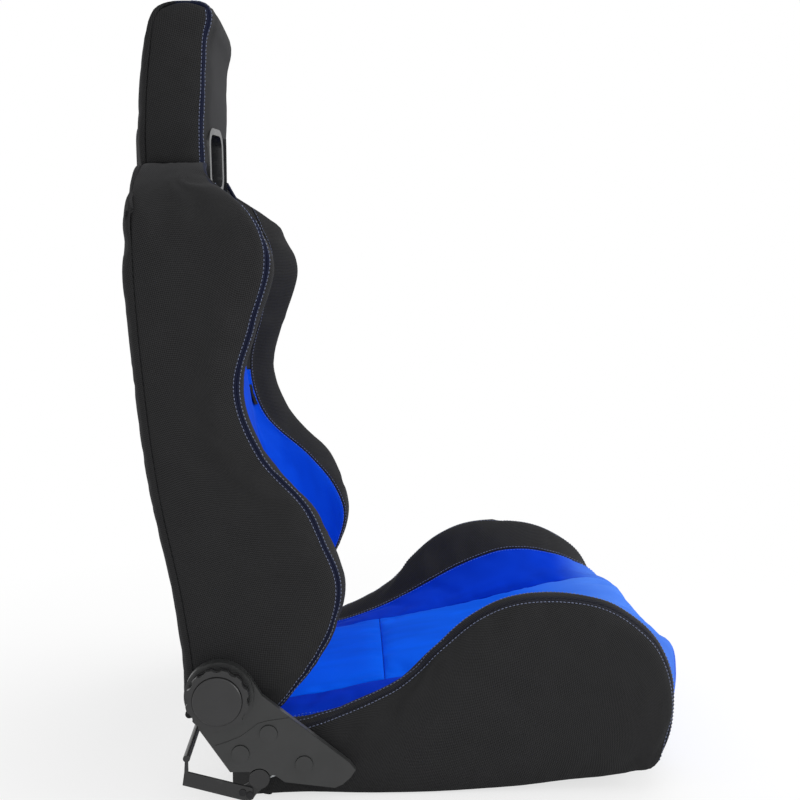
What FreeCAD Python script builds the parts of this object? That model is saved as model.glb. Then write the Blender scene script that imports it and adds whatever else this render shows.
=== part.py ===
import FreeCAD, Part
import math
import os
import re
from FreeCAD import Placement, Rotation, Vector

# Racing seat with a folding, reclining backrest. Millimetres, +X to the seat's front, +Y to its left,
# +Z up. The origin is the centre of the four mounting holes, on the plane the base rails stand on.

SIZES = {
    # Mounting pattern and base rails
    "mount_dx": 290,
    "mount_dy": 400,
    "mount_hole_radius": 4.3,
    "rail_rear_x": -215,
    "rail_length": 430,
    "rail_flange_width": 30,
    "rail_wall": 3,
    "rail_web_height": 72,
    "rail_web_half": 215,
    "rail_front_cut_length": 50,
    "rail_front_cut_height": 30,
    "base_tube_radius": 11,
    "base_tube_wall": 2,
    "front_tube_x": 195,
    "rear_tube_x": -128,
    "base_tube_z": 45,
    "seat_spring_radius": 1.75,
    "seat_spring_pitch": 52,
    "seat_spring_swing": 17,
    "seat_spring_bend": 9,
    # Upholstery widths, measured from the centre plane
    "seat_half": 245,
    "side_seam_half": 238,
    "crest_half": 226,
    "shoulder_half": 206,
    "insert_half": 190,
    "flank_half": 168,
    "crease_half": 130,
    "cover_wall": 4,
    "soft_clearance": 0.3,
    "foam_floor_z": 60,
    "edge_roll": 6,
    "edge_flat": 18,
    "skirt_z": 72,
    # Backrest and headrest
    "back_floor_z": 100,
    "head_joint_z": 741,
    "head_half": 118,
    "rear_strip": 12,
    "blue_wing_top": 470,
    "blue_centre_top": 610,
    "slot_z": 750,
    "slot_offset": 56.5,
    "slot_width": 61,
    "slot_height": 64,
    "slot_corner": 14,
    "slot_tilt": 4,
    "bezel_lip": 8,
    "bezel_wall": 2.5,
    "bezel_front_x": -240.5,
    "bezel_rear_x": -334,
    "bezel_lip_depth": 6,
    "bezel_turn": 6,
    "tag_thickness": 1,
    "tag_width": 14,
    "tag_height": 30,
    "tag_z": 432,
    "hem_radius": 5,
    "hem_half": 232,
    # Recliner stack, outward from the backrest's side
    "axis_x": -223,
    "axis_z": 133,
    "stack_start": 246,
    "disc_radius": 32,
    "disc_thickness": 4,
    "plate_thickness": 3,
    "base_plate_thickness": 4,
    "stack_gap": 0.4,
    "ring_wall": 2,
    "rod_radius": 5,
    "running_clearance": 0.05,
    "bush_radius": 13,
    "hub_radius": 8,
    "bolt_radius": 4,
    "bolt_head_radius": 7,
    "bolt_head_height": 4,
    "spacer_radius": 8,
    "front_bolt_x": -92,
    "front_bolt_z": 38,
    "middle_bolt_x": -112,
    "middle_bolt_z": 61,
    "rear_bolt_x": -197,
    "rear_bolt_z": 54,
    "plate_bolt_head_height": 2.5,
    "nut_height": 6,
    "back_bolt_radius": 3,
    "back_bolt_head": 5,
    "back_bolt_circle": 20,
    "back_plate_half": 231,
    "back_plate_top": 330,
    # Recliner cover and hand wheel
    "cover_depth": 22.5,
    "cover_skirt": 8,
    "cover_step": 0.8,
    "step_gap": 0.4,
    "fit_gap": 0.2,
    "shell_wall": 2.5,
    "boss_radius": 39,
    "boss_rise": 5,
    "notch_radius": 13,
    "wheel_radius": 35.5,
    "wheel_depth": 15,
    "wheel_gap": 1,
    "wheel_lobes": 12,
    "scallop_radius": 8,
    "scallop_depth": 2.6,
    "wheel_flange": 2.5,
    "wheel_groove": 6.5,
    "wheel_groove_radius": 31,
    "cap_radius": 27.5,
    "cap_height": 3,
    "plug_radius": 10,
    "plug_height": 2.5,
    "plug_stem_radius": 8,
    "screw_radius": 3,
    "screw_head_radius": 6,
    "screw_head_height": 2,
    # Release lever and latch
    "lever_x": -179,
    "lever_z": 33,
    "lever_hub_radius": 11.5,
    "lever_shaft_radius": 5,
    "lever_boss_radius": 12,
    "bar_x": -261,
    "bar_z": 59,
    "bar_radius": 4,
    "tab_width": 3.5,
    "rivet_radius": 3,
    "rivet_head_height": 1.2,
    "sector_radius": 70,
    "sector_angle": 34,
    "sector_start": -56,
    "latch_angle": -33,
    "tooth_width": 9,
    "tooth_depth": 8,
    "tooth_gap": 0.6,
    "pin_radius": 2,
    "spring_x": -134,
    "spring_low_z": 50,
    "spring_high_z": 72,
    "spring_radius": 3,
    "spring_bore": 2,
    # Frames inside the foam
    "hoop_radius": 11,
    "hoop_wall": 1.6,
    "hoop_foot_x": -240,
    "hoop_foot_z": 168,
    "hoop_lean": 7.5,
    "hoop_half": 185,
    "hoop_rise": 512,
    "hoop_bend": 60,
    "head_hoop_radius": 6,
    "head_hoop_x": -301,
    "head_hoop_half": 100,
    "head_hoop_top_z": 893,
    "head_hoop_bend": 30,
    "cross_tube_radius": 9,
    "low_cross_rise": 14,
    "high_cross_rise": 142,
    "back_spring_radius": 1.75,
}

# Cushion outlines from rear to front, as x and z, at four distances from the centre plane. The points
# are the ends and middles of arcs.
CUSHION_CENTRE = [(-165, 78), (-92, 90), (-45, 101), (0, 109), (60, 119), (110, 129), (150, 138),
                  (190, 147), (235, 155), (280, 159), (322, 147), (337, 115), (312, 45)]
CUSHION_CREASE = [(-165, 76), (-92, 87), (-45, 97), (0, 104), (60, 115), (110, 125), (150, 135),
                  (190, 144), (235, 153), (278, 159), (319, 149), (335, 117), (311, 45)]
CUSHION_INSERT = [(-163, 74), (-95, 83), (-45, 97), (0, 115), (50, 143), (95, 168), (150, 189),
                  (190, 193), (228, 188), (268, 173), (306, 148), (319, 108), (304, 40)]
CUSHION_CREST = [(-158, 78), (-87, 101), (-17, 134), (24, 172), (66, 208), (108, 229), (155, 235),
                 (205, 230), (245, 214), (286, 178), (306, 130), (307, 80), (291, 30)]
CUSHION_KEEL_X = -20
CUSHION_REAR_X = -185
CUSHION_REAR_DROP = 18
CUSHION_FLOOR_Z = 2
CUSHION_SKIRT = 4

# Backrest front outlines from the floor upwards, as x at each height. The last three heights are set
# by the shoulder line, so they are listed with each outline.
BACK_HEIGHTS = [100, 150, 199, 250, 300, 335, 400, 475, 549, 614]
BACK_REAR = [-266, -267, -273, -281, -291, -298, -308, -316, -323, -327, -328, -328, -329]
BACK_CENTRE = [-186, -184, -182, -183, -188, -193, -207, -219, -228, -236, -241, -246, -249]
BACK_CREASE = [-188, -188, -187, -189, -195, -200, -214, -226, -234, -240, -244, -248, -250]
BACK_FLANK = [-170, -150, -135, -130, -150, -172, -214, -230, -228, -224, -227, -235, -243]
BACK_INSERT = [-162, -123, -96, -86, -110, -140, -205, -226, -211, -195, -199, -213, -231]
BACK_SHOULDER = [-160, -120, -93, -83, -100, -123, -184, -208, -191, -175, -180, -196, -216]
BACK_CREST = [-158, -117, -90, -81, -98, -114, -168, -194, -176, -159, -165, -178, -192]
BACK_TOPS = {"centre": 741, "crease": 739, "flank": 728, "insert": 714, "shoulder": 702, "crest": 686}
# Room that the last three heights keep under the shoulder line: a lower line draws the others down.
BACK_TOP_ROOM = 72

# Headrest side outline: front from the joint up, then the rear from the top down.
HEAD_FRONT = [(-251, 741), (-251, 790), (-246, 860), (-242, 900), (-239, 918), (-243, 928), (-258, 931)]
HEAD_REAR = [(-290, 929), (-308, 921), (-315, 898), (-323, 848), (-328, 800), (-329, 770), (-329, 741)]

SIDES = (("right", -1), ("left", 1))

doc = FreeCAD.newDocument("racing_seat")
sheet = doc.addObject("Spreadsheet::Sheet", "sizes")
for row, (name, value) in enumerate(SIZES.items(), start=1):
    sheet.set(f"A{row}", name)
    sheet.set(f"B{row}", str(value))
    sheet.setAlias(f"B{row}", name)
doc.recompute()

nodes = {}


def size(name):
    """Number held by one cell of the sheet."""
    return float(sheet.get(name))


def ref(text):
    """Expression text with every size name pointed at its cell."""
    return re.sub(r"[a-z][a-z_]*[a-z]", lambda word: "sizes." + word.group(0)
                  if word.group(0) in SIZES else word.group(0), text)


def keep(obj, label):
    """Register an object as a finished piece."""
    obj.Label = label
    nodes[label] = obj
    return obj


def feature(name, shape):
    """A plain feature that holds a shape built with Part's functions."""
    obj = doc.addObject("Part::Feature", name)
    obj.Shape = shape
    return obj


def place(obj, x, y, z, rotation=Rotation()):
    """Put an object at a place given as expressions."""
    obj.Placement = Placement(Vector(), rotation)
    for key, text in zip("xyz", (x, y, z)):
        obj.setExpression(f"Placement.Base.{key}", ref(str(text)))
    return obj


def outward(side):
    """Turn the local Z axis to point out of the seat's right (-1) or left (+1) side."""
    return Rotation(Vector(1, 0, 0), -90 * side)


def cylinder(name, radius, height, x, y, z, rotation):
    """A cylinder whose sizes and place are expressions."""
    obj = doc.addObject("Part::Cylinder", name)
    obj.setExpression("Radius", ref(str(radius)))
    obj.setExpression("Height", ref(str(height)))
    return place(obj, x, y, z, rotation)


def box(name, length, width, height, x, y, z):
    """A box whose sizes and lowest corner are expressions."""
    obj = doc.addObject("Part::Box", name)
    for key, text in (("Length", length), ("Width", width), ("Height", height)):
        obj.setExpression(key, ref(str(text)))
    return place(obj, x, y, z)


def cut(name, base, *tools):
    """Cut every tool from the base."""
    for tool in tools:
        obj = doc.addObject("Part::Cut", name)
        obj.Base = base
        obj.Tool = tool
        base = obj
    return base


def fuse(name, *parts):
    """Fuse parts that belong to one piece."""
    obj = doc.addObject("Part::MultiFuse", name)
    obj.Shapes = list(parts)
    return obj


def group(label, parts):
    """A node that holds several separate solids."""
    obj = doc.addObject("Part::Compound", label)
    obj.Links = parts
    return keep(obj, label)


def closed_sketch(body, plane, points, circles=()):
    """Sketch a closed outline, with every corner held to the origin by expressions."""
    import Sketcher
    sketch = body.newObject("Sketcher::SketchObject", body.Name + "_outline")
    origin = [item for item in body.Origin.OriginFeatures if item.Role == plane][0]
    sketch.AttachmentSupport = [(origin, "")]
    sketch.MapMode = "FlatFace"
    rough = [(10.0 + 9 * math.cos(2 * math.pi * i / len(points)),
              10.0 + 9 * math.sin(2 * math.pi * i / len(points))) for i in range(len(points))]
    start = [(rough_point if guess is None else guess) for rough_point, guess in
             zip(rough, [numbers(point) for point in points])]
    for i, corner in enumerate(start):
        after = start[(i + 1) % len(start)]
        sketch.addGeometry(Part.LineSegment(Vector(corner[0], corner[1], 0), Vector(after[0], after[1], 0)))
    for i in range(len(points)):
        sketch.addConstraint(Sketcher.Constraint("Coincident", i, 2, (i + 1) % len(points), 1))
    for i, point in enumerate(points):
        for kind, text, number in zip(("DistanceX", "DistanceY"), point, start[i]):
            index = sketch.addConstraint(Sketcher.Constraint(kind, i, 1, number))
            sketch.setExpression(f"Constraints[{index}]", ref(str(text)))
    for x, y, radius in circles:
        centre = numbers((x, y))
        index = sketch.addGeometry(Part.Circle(Vector(centre[0], centre[1], 0), Vector(0, 0, 1), 3.0))
        for kind, text, number in (("DistanceX", x, centre[0]), ("DistanceY", y, centre[1])):
            held = sketch.addConstraint(Sketcher.Constraint(kind, index, 3, number))
            sketch.setExpression(f"Constraints[{held}]", ref(str(text)))
        held = sketch.addConstraint(Sketcher.Constraint("Radius", index, 3.0))
        sketch.setExpression(f"Constraints[{held}]", ref(str(radius)))
    return sketch


def numbers(point):
    """Start values of a corner, read by the document's own expression engine."""
    return tuple(float(sheet.evalExpression(ref(str(text)))) for text in point)


def plate(name, outline, thickness, side, y, circles=()):
    """A flat plate in the side view: a padded outline whose inner face lies at y from the centre."""
    body = doc.addObject("PartDesign::Body", name)
    sketch = closed_sketch(body, "XZ_Plane", outline, circles)
    pad = body.newObject("PartDesign::Pad", name + "_pad")
    pad.Profile = sketch
    pad.Reversed = side > 0
    pad.setExpression("Length", ref(str(thickness)))
    body.setExpression("Placement.Base.y", ref(f"{side} * ({y})"))
    return body


def turned(name, outline, x, y, z, side):
    """A turned piece about the Y direction: the outline holds radius and depth outwards."""
    body = doc.addObject("PartDesign::Body", name)
    sketch = closed_sketch(body, "XY_Plane", outline)
    turn = body.newObject("PartDesign::Revolution", name + "_turn")
    turn.Profile = sketch
    turn.ReferenceAxis = (sketch, ["V_Axis"])
    turn.Angle = 360
    rotation = Rotation(Vector(0, 0, 1), 0 if side > 0 else 180)
    return place(body, x, f"{side} * ({y})", z, rotation)


def inset(points, depth):
    """Move an open outline inwards, to the right of its direction of travel."""
    moved = []
    for i, (x, z) in enumerate(points):
        before = points[max(i - 1, 0)]
        after = points[min(i + 1, len(points) - 1)]
        dx, dz = after[0] - before[0], after[1] - before[1]
        length = math.hypot(dx, dz)
        moved.append((x + depth * dz / length, z - depth * dx / length))
    return moved


def arcs(points, y):
    """Edges through the points, two spans to an arc."""
    edges = []
    for i in range(0, len(points) - 2, 2):
        a, b, c = (Vector(x, y, z) for x, z in points[i:i + 3])
        if (b - a).cross(c - b).Length < 1e-3 * (c - a).Length:
            edges.append(Part.LineSegment(a, c).toShape())
        else:
            edges.append(Part.Arc(a, b, c).toShape())
    return edges


def closed_section(chains, y):
    """One closed wire: chains of arcs, or straight runs where a chain has an even number of points."""
    edges = []
    for i, chain in enumerate(chains):
        if len(chain) % 2:
            edges += arcs(chain, y)
        else:
            edges += [straight(start, end, y) for start, end in zip(chain, chain[1:])]
        edges.append(straight(chain[-1], chains[(i + 1) % len(chains)][0], y))
    return Part.Wire(edges)


def straight(start, end, y):
    """Straight edge in a side view section."""
    return Part.LineSegment(Vector(start[0], y, start[1]), Vector(end[0], y, end[1])).toShape()


def mirrored_loft(sections):
    """Ruled solid through sections given from the outer side to the centre, and their mirror images."""
    wires = [closed_section(chains, -y) for y, chains in sections]
    wires += [closed_section(chains, y) for y, chains in reversed(sections) if y > 0]
    return Part.makeLoft(wires, True, True)


def cushion_solid(wall, drop):
    """Cushion form, drawn in by a wall, with its floor lowered by a drop."""

    def section(points, depth):
        top = inset(points, depth + wall)
        low_rear = (CUSHION_REAR_X + depth + wall, CUSHION_FLOOR_Z - drop)
        low_front = (CUSHION_KEEL_X, CUSHION_FLOOR_Z - drop)
        nose = (top[-1][0], top[-1][1] - drop - CUSHION_SKIRT)
        return [top, [nose, low_front, low_rear, (low_rear[0], top[0][1] - CUSHION_REAR_DROP)]]
    return mirrored_loft([
        (size("seat_half") - wall, section(CUSHION_CREST, size("edge_flat"))),
        (size("side_seam_half") + 2 - wall / 2, section(CUSHION_CREST, size("edge_roll") / 2)),
        (size("crest_half"), section(CUSHION_CREST, 0)),
        (size("insert_half"), section(CUSHION_INSERT, 0)),
        (size("crease_half"), section(CUSHION_CREASE, 0)),
        (0, section(CUSHION_CENTRE, 0))])


def back_outline(xs, top, depth, floor):
    """Front and rear chains of the backrest at one distance from the centre plane."""
    lift = min(1, (top - BACK_TOP_ROOM) / BACK_HEIGHTS[-1])
    fixed = [height * lift for height in BACK_HEIGHTS[1:]]
    step = (top - fixed[-1]) / 3
    heights = [floor] + fixed + [fixed[-1] + step * k for k in (1, 2, 3)]
    heights[-1] -= depth
    front = [(x - depth, z) for x, z in zip(xs, heights)]
    rear = [(x + depth, z) for x, z in zip(BACK_REAR, heights)]
    return [front, list(reversed(rear))]


def back_solid(wall, drop):
    """Backrest form without the headrest, drawn in by a wall, with its floor lowered by a drop."""
    floor = size("back_floor_z") - drop

    def section(xs, top, depth):
        return back_outline(xs, BACK_TOPS[top] if top != "centre" else size("head_joint_z"), depth + wall, floor)
    return mirrored_loft([
        (size("seat_half") - wall, section(BACK_CREST, "crest", size("edge_flat"))),
        (size("side_seam_half") + 2 - wall / 2, section(BACK_CREST, "crest", size("edge_roll"))),
        (size("crest_half"), section(BACK_CREST, "crest", 0)),
        (size("shoulder_half"), section(BACK_SHOULDER, "shoulder", 0)),
        (size("insert_half"), section(BACK_INSERT, "insert", 0)),
        (size("flank_half"), section(BACK_FLANK, "flank", 0)),
        (size("crease_half"), section(BACK_CREASE, "crease", 0)),
        (0, section(BACK_CENTRE, "centre", 0))])


def head_solid(wall):
    """Headrest form, drawn in by a wall and then sunk into the neck, through the cover there."""
    joint = size("head_joint_z") - 2 * wall

    def section(depth, crown):
        front = [(x - depth - wall + crown, z - depth - wall) for x, z in HEAD_FRONT]
        rear = [(x + depth + wall, z - depth - wall) for x, z in HEAD_REAR]
        front[0] = (front[0][0], joint)
        rear[-1] = (rear[-1][0], joint)
        return [front, rear]
    half = size("head_half")
    return mirrored_loft([(half - wall, section(size("edge_flat") / 2, 0)),
                          (half - wall - 6, section(2, 2)),
                          (half - wall - 24, section(0, 5)),
                          (0, section(0, 10))])


def slab(y_from, y_to, x_from=-400, x_to=500, z_from=-50, z_to=1000):
    """Block used to divide a cover into its sewn panels."""
    return Part.makeBox(x_to - x_from, y_to - y_from, z_to - z_from, Vector(x_from, y_from, z_from))


def both(shape):
    """A shape and its mirror image in the centre plane."""
    return [shape, shape.mirror(Vector(), Vector(0, 1, 0))]


def joined(shapes):
    """One compound of several shapes."""
    return Part.makeCompound(shapes)


def prism(points, y_from, y_to):
    """Straight-sided block with a side view outline."""
    corners = [Vector(x, y_from, z) for x, z in points]
    face = Part.Face(Part.makePolygon(corners + corners[:1]))
    return face.extrude(Vector(0, y_to - y_from, 0))


def slot_block(side, margin, x_from, x_to):
    """Rounded, tilted block through a harness slot, wider than the opening by a margin."""
    wide, tall = size("slot_width") + 2 * margin, size("slot_height") + 2 * margin
    corner = size("slot_corner") + margin
    block = Part.makeBox(x_to - x_from, wide, tall, Vector(x_from, -wide / 2, -tall / 2))
    long_edges = [edge for edge in block.Edges if abs(edge.Length - (x_to - x_from)) < 1e-6
                  and abs(edge.Vertexes[0].X - edge.Vertexes[1].X) > 1]
    block = block.makeFillet(min(corner, tall / 2 - 1), long_edges)
    block.rotate(Vector(), Vector(1, 0, 0), -side * size("slot_tilt"))
    block.translate(Vector(0, side * size("slot_offset"), size("slot_z")))
    return block


def tube_path(points, bends):
    """Wire of straight runs joined by tangent arcs of the given radii."""
    edges = []
    start = points[0]
    for i in range(1, len(points) - 1):
        into = (points[i] - points[i - 1]).normalize()
        out = (points[i + 1] - points[i]).normalize()
        turn = into.getAngle(out)
        reach = bends[i - 1] * math.tan(turn / 2)
        first, last = points[i] - into * reach, points[i] + out * reach
        inward = (out - into).normalize()
        middle = points[i] + inward * (bends[i - 1] / math.cos(turn / 2) - bends[i - 1])
        if (first - start).Length > 1e-6:
            edges.append(Part.LineSegment(start, first).toShape())
        edges.append(Part.Arc(first, middle, last).toShape())
        start = last
    edges.append(Part.LineSegment(start, points[-1]).toShape())
    return Part.Wire(edges)


def tube(points, bends, radius):
    """Round bar or tube swept along a path of straight runs and arcs."""
    path = tube_path(points, bends)
    direction = (points[1] - points[0]).normalize()
    section = Part.Wire([Part.makeCircle(radius, points[0], direction)])
    return path.makePipeShell([section], True, False)


# Base rails, cross tubes and cushion springs
BASE_BOLTS = ("front", "middle", "rear")


def base_rail(name, side):
    """Pressed angle rail with its two mounting holes."""
    low = f"{side} * rail_web_half - {(side + 1) / 2} * rail_wall"
    web = box(name + "_web", "rail_length", "rail_wall", "rail_web_height", "rail_rear_x", low, 0)
    inner = f"{side} * rail_web_half - {(side + 1) / 2} * rail_flange_width"
    flange = box(name + "_flange", "rail_length", "rail_flange_width", "rail_wall", "rail_rear_x", inner, 0)
    holes = [cylinder(name + "_mount_hole", "mount_hole_radius", "rail_wall * 3", f"{end} * mount_dx / 2",
                      f"{side} * mount_dy / 2", "-rail_wall", Rotation()) for end in (-1, 1)]
    holes += [cylinder(name + "_bolt_hole", "bolt_radius", "rail_wall * 3", f"{key}_bolt_x",
                       f"{side} * (rail_web_half - 2 * rail_wall)", f"{key}_bolt_z", outward(side))
              for key in BASE_BOLTS]
    front = size("rail_rear_x") + size("rail_length")
    low_front = feature(name + "_front_cut", prism([(front - size("rail_front_cut_length"), -1), (front + 1, -1),
                                                    (front + 1, size("rail_front_cut_height"))], -300, 300))
    return cut(name, fuse(name + "_angle", web, flange), low_front, *holes)


for word, side in SIDES:
    keep(base_rail("base_rail_" + word, side), "base_rail_" + word)


def base_tube(word):
    """Round steel tube welded between the two rails' webs."""
    inner = "rail_web_half - rail_wall"
    outside = cylinder(f"base_{word}_tube_blank", "base_tube_radius", f"2 * ({inner})", f"{word}_tube_x", inner,
                       "base_tube_z", outward(-1))
    bore = cylinder(f"base_{word}_tube_bore", "base_tube_radius - base_tube_wall", f"2 * ({inner})",
                    f"{word}_tube_x", inner, "base_tube_z", outward(-1))
    return cut(f"base_{word}_tube", outside, bore)


group("base_cross_tubes", [base_tube(word) for word in ("front", "rear")])


def seat_spring(y):
    """Zigzag wire that lies on the two cross tubes."""
    z = size("base_tube_z") + size("base_tube_radius") + size("seat_spring_radius")
    rear, front = size("rear_tube_x"), size("front_tube_x")
    bend, swing = size("seat_spring_bend"), size("seat_spring_swing")
    turns = int((front - rear - 20) / (2 * bend))
    start = (front + rear) / 2 - turns * bend
    points = [Vector(rear - 4, y, z)]
    for i in range(turns + 1):
        x = start + 2 * bend * i
        points += [Vector(x, y if i == 0 else y + swing * (-1) ** i, z),
                   Vector(x, y if i == turns else y - swing * (-1) ** i, z)]
    points.append(Vector(front + 4, y, z))
    return tube(points, [bend] * (len(points) - 2), size("seat_spring_radius"))


seat_springs = feature("cushion_springs", joined([seat_spring(size("seat_spring_pitch") * k)
                                                  for k in (-2, -1, 0, 1, 2)]))
keep(seat_springs, "cushion_springs")

# Cushion upholstery: foam inside, sewn panels outside
cushion_form = cushion_solid(0, 0)
cushion_cavity = cushion_solid(size("cover_wall"), 20)
cushion_skin = cushion_form.cut(cushion_cavity)
cushion_foam = cushion_cavity.common(slab(-300, 300, z_from=size("foam_floor_z")))
room = size("soft_clearance")
for key in BASE_BOLTS:
    drill = Part.makeCylinder(size("spacer_radius") + room, 600,
                              Vector(size(key + "_bolt_x"), -300, size(key + "_bolt_z")), Vector(0, 1, 0))
    cushion_skin = cushion_skin.cut(drill)
    cushion_foam = cushion_foam.cut(drill)
for side in (-1, 1):
    inner, outer = size("rail_web_half") - size("rail_wall") - room, size("rail_web_half") + room
    low, high = sorted((side * inner, side * outer))
    web = slab(low, high, size("rail_rear_x"), size("rail_rear_x") + size("rail_length") + room,
               z_to=size("rail_web_height") + room)
    low, high = sorted((side * (size("rail_web_half") - size("rail_flange_width") - room), side * outer))
    flange = slab(low, high, size("rail_rear_x"), 0, z_to=size("rail_wall") + room)
    cushion_skin = cushion_skin.cut(web).cut(flange)
    cushion_foam = cushion_foam.cut(web)
keep(feature("cushion_foam", cushion_foam), "cushion_foam")
seam, insert = size("side_seam_half"), size("insert_half")
panels = {
    "cushion_side": slab(-300, -seam),
    "cushion_band": slab(-seam, -insert),
}
for label, block in panels.items():
    for (word, side), part in zip(SIDES, both(cushion_skin.common(block))):
        keep(feature(f"{label}_{word}", part), f"{label}_{word}")
middle = cushion_skin.common(slab(-insert, insert))
keep(feature("cushion_insert", middle.common(slab(-300, 300, z_from=size("skirt_z")))), "cushion_insert")
keep(feature("cushion_skirt", middle.common(slab(-300, 300, z_to=size("skirt_z")))), "cushion_skirt")

# Backrest frame
lean = Vector(-math.sin(math.radians(size("hoop_lean"))), 0, math.cos(math.radians(size("hoop_lean"))))
foot = Vector(size("hoop_foot_x"), 0, size("hoop_foot_z"))
across = Vector(0, size("hoop_half"), 0)
crown = foot + lean * size("hoop_rise")
hoop_line = [foot - across, crown - across, crown + across, foot + across]
hoop = tube(hoop_line, [size("hoop_bend")] * 2, size("hoop_radius"))
hoop_bore = tube(hoop_line, [size("hoop_bend")] * 2, size("hoop_radius") - size("hoop_wall"))
keep(feature("back_hoop_tube", hoop.cut(hoop_bore)), "back_hoop_tube")


def cross_tube(rise):
    """Tube from one side plate to the other, ahead of the hoop's legs and welded to them."""
    place_on_leg = foot + lean * rise
    reach = size("back_plate_half") - size("plate_thickness")
    start = Vector(place_on_leg.x, -reach, place_on_leg.z)
    tube_shape = Part.makeCylinder(size("cross_tube_radius"), 2 * reach, start, Vector(0, 1, 0)).cut(hoop)
    bore = Part.makeCylinder(size("cross_tube_radius") - size("hoop_wall"), 2 * reach, start, Vector(0, 1, 0))
    return tube_shape, tube_shape.cut(bore)


low_tube, low_hollow = cross_tube(size("low_cross_rise"))
high_tube, high_hollow = cross_tube(size("high_cross_rise"))
cross_tubes = joined([low_tube, high_tube])
keep(feature("back_cross_tubes", joined([low_hollow, high_hollow])), "back_cross_tubes")
head_foot_z, head_top_z = crown.z, size("head_hoop_top_z")
head_half = size("head_hoop_half")
head_x = size("head_hoop_x")
head_hoop = tube([Vector(head_x, -head_half, head_foot_z), Vector(head_x, -head_half, head_top_z),
                  Vector(head_x, head_half, head_top_z), Vector(head_x, head_half, head_foot_z)],
                 [size("head_hoop_bend")] * 2, size("head_hoop_radius")).cut(hoop)
keep(feature("head_hoop_tube", head_hoop), "head_hoop_tube")
wires = []
for rise in (70, 130, 210, 280, 350, 420):
    spot = foot + lean * rise
    reach = size("hoop_half") - size("hoop_radius")
    wires.append(Part.makeCylinder(size("back_spring_radius"), 2 * reach, Vector(spot.x, -reach, spot.z),
                                   Vector(0, 1, 0)))
back_wires = joined(wires)
keep(feature("back_springs", back_wires), "back_springs")

# Backrest side plates, their bolts and spacers
BACK_BOLT_ANGLES = (90, 210, 330)
plate_half = size("back_plate_half")
plate_wall = size("plate_thickness")


def back_side_plate(name, side):
    """Steel plate that carries the hoop and bolts to the recliner's inner disc."""
    outline = [("axis_x - 26", "axis_z - 25"), ("axis_x + 26", "axis_z - 25"), ("axis_x + 26", "axis_z + 40"),
               ("hoop_foot_x + 4", "back_plate_top"), ("hoop_foot_x - 38", "back_plate_top"),
               ("axis_x - 34", "axis_z + 40")]
    holes = [(f"axis_x + {math.cos(math.radians(turn)):.6f} * back_bolt_circle",
              f"axis_z + {math.sin(math.radians(turn)):.6f} * back_bolt_circle", "back_bolt_radius")
             for turn in BACK_BOLT_ANGLES]
    holes.append(("axis_x", "axis_z", "hub_radius + 2"))
    return plate(name, outline, "plate_thickness", side, "back_plate_half - plate_thickness", holes)


side_plates = [back_side_plate("back_side_plate_" + word, side) for word, side in SIDES]
group("back_side_plates", side_plates)


def on_circle(turn, name, radius, length, side, start, circle="back_bolt_circle"):
    """A round piece parallel to the recliner axis, on a circle about it."""
    return cylinder(name, radius, length, f"axis_x + {math.cos(math.radians(turn)):.6f} * {circle}",
                    f"{side} * ({start})", f"axis_z + {math.sin(math.radians(turn)):.6f} * {circle}",
                    outward(side))


bolts, spacers = [], []
for word, side in SIDES:
    for turn in BACK_BOLT_ANGLES:
        shank = on_circle(turn, "back_bolt_shank", "back_bolt_radius",
                          "stack_start + disc_thickness - back_plate_half + plate_thickness", side,
                          "back_plate_half - plate_thickness")
        head = on_circle(turn, "back_bolt_top", "back_bolt_head", "bolt_head_height", side,
                         "back_plate_half - plate_thickness - bolt_head_height")
        bolts.append(fuse("back_bolt", shank, head))
        sleeve = on_circle(turn, "back_sleeve", "back_bolt_head", "stack_start - back_plate_half", side,
                           "back_plate_half")
        bore = on_circle(turn, "back_sleeve_bore", "back_bolt_radius", "stack_start - back_plate_half + 2",
                         side, "back_plate_half - 1")
        spacers.append(cut("back_spacer", sleeve, bore))
group("back_plate_bolts", bolts)
group("back_plate_spacers", spacers)

# Recliner discs, fold plates, base plates and bushes
disc_depths = {"inner": "stack_start", "outer": "stack_start + disc_thickness + stack_gap"}
for kind, start in disc_depths.items():
    discs = []
    for word, side in SIDES:
        outline = [("hub_radius + running_clearance", 0), ("disc_radius", 0), ("disc_radius", "disc_thickness"),
                   ("hub_radius + running_clearance", "disc_thickness")]
        disc = turned(f"recliner_{kind}_{word}", outline, "axis_x", start, "axis_z", side)
        if kind == "inner":
            drills = [on_circle(turn, "disc_hole", "back_bolt_radius", "disc_thickness + 2", side,
                                "stack_start - 1") for turn in BACK_BOLT_ANGLES]
            disc = cut(f"recliner_{kind}_disc_{word}", disc, *drills)
        discs.append(disc)
    group(f"recliner_{kind}_discs", discs)
rings = []
for word, side in SIDES:
    outline = [("disc_radius + running_clearance", 0), ("disc_radius + ring_wall", 0),
               ("disc_radius + ring_wall", "2 * disc_thickness + stack_gap + 1"),
               ("disc_radius", "2 * disc_thickness + stack_gap + 1"),
               ("disc_radius", "2 * disc_thickness + stack_gap"),
               ("disc_radius", "disc_thickness + stack_gap"),
               ("disc_radius + running_clearance", "disc_thickness + stack_gap")]
    rings.append(turned("recliner_ring", outline, "axis_x", "stack_start", "axis_z", side))
group("recliner_rings", rings)

fold_start = "stack_start + 2 * disc_thickness + stack_gap + 1"
base_start = "stack_start + 2 * disc_thickness + 2 * stack_gap + plate_thickness + 1"
base_end = "stack_start + 2 * disc_thickness + 2 * stack_gap + plate_thickness + base_plate_thickness + 1"


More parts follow.
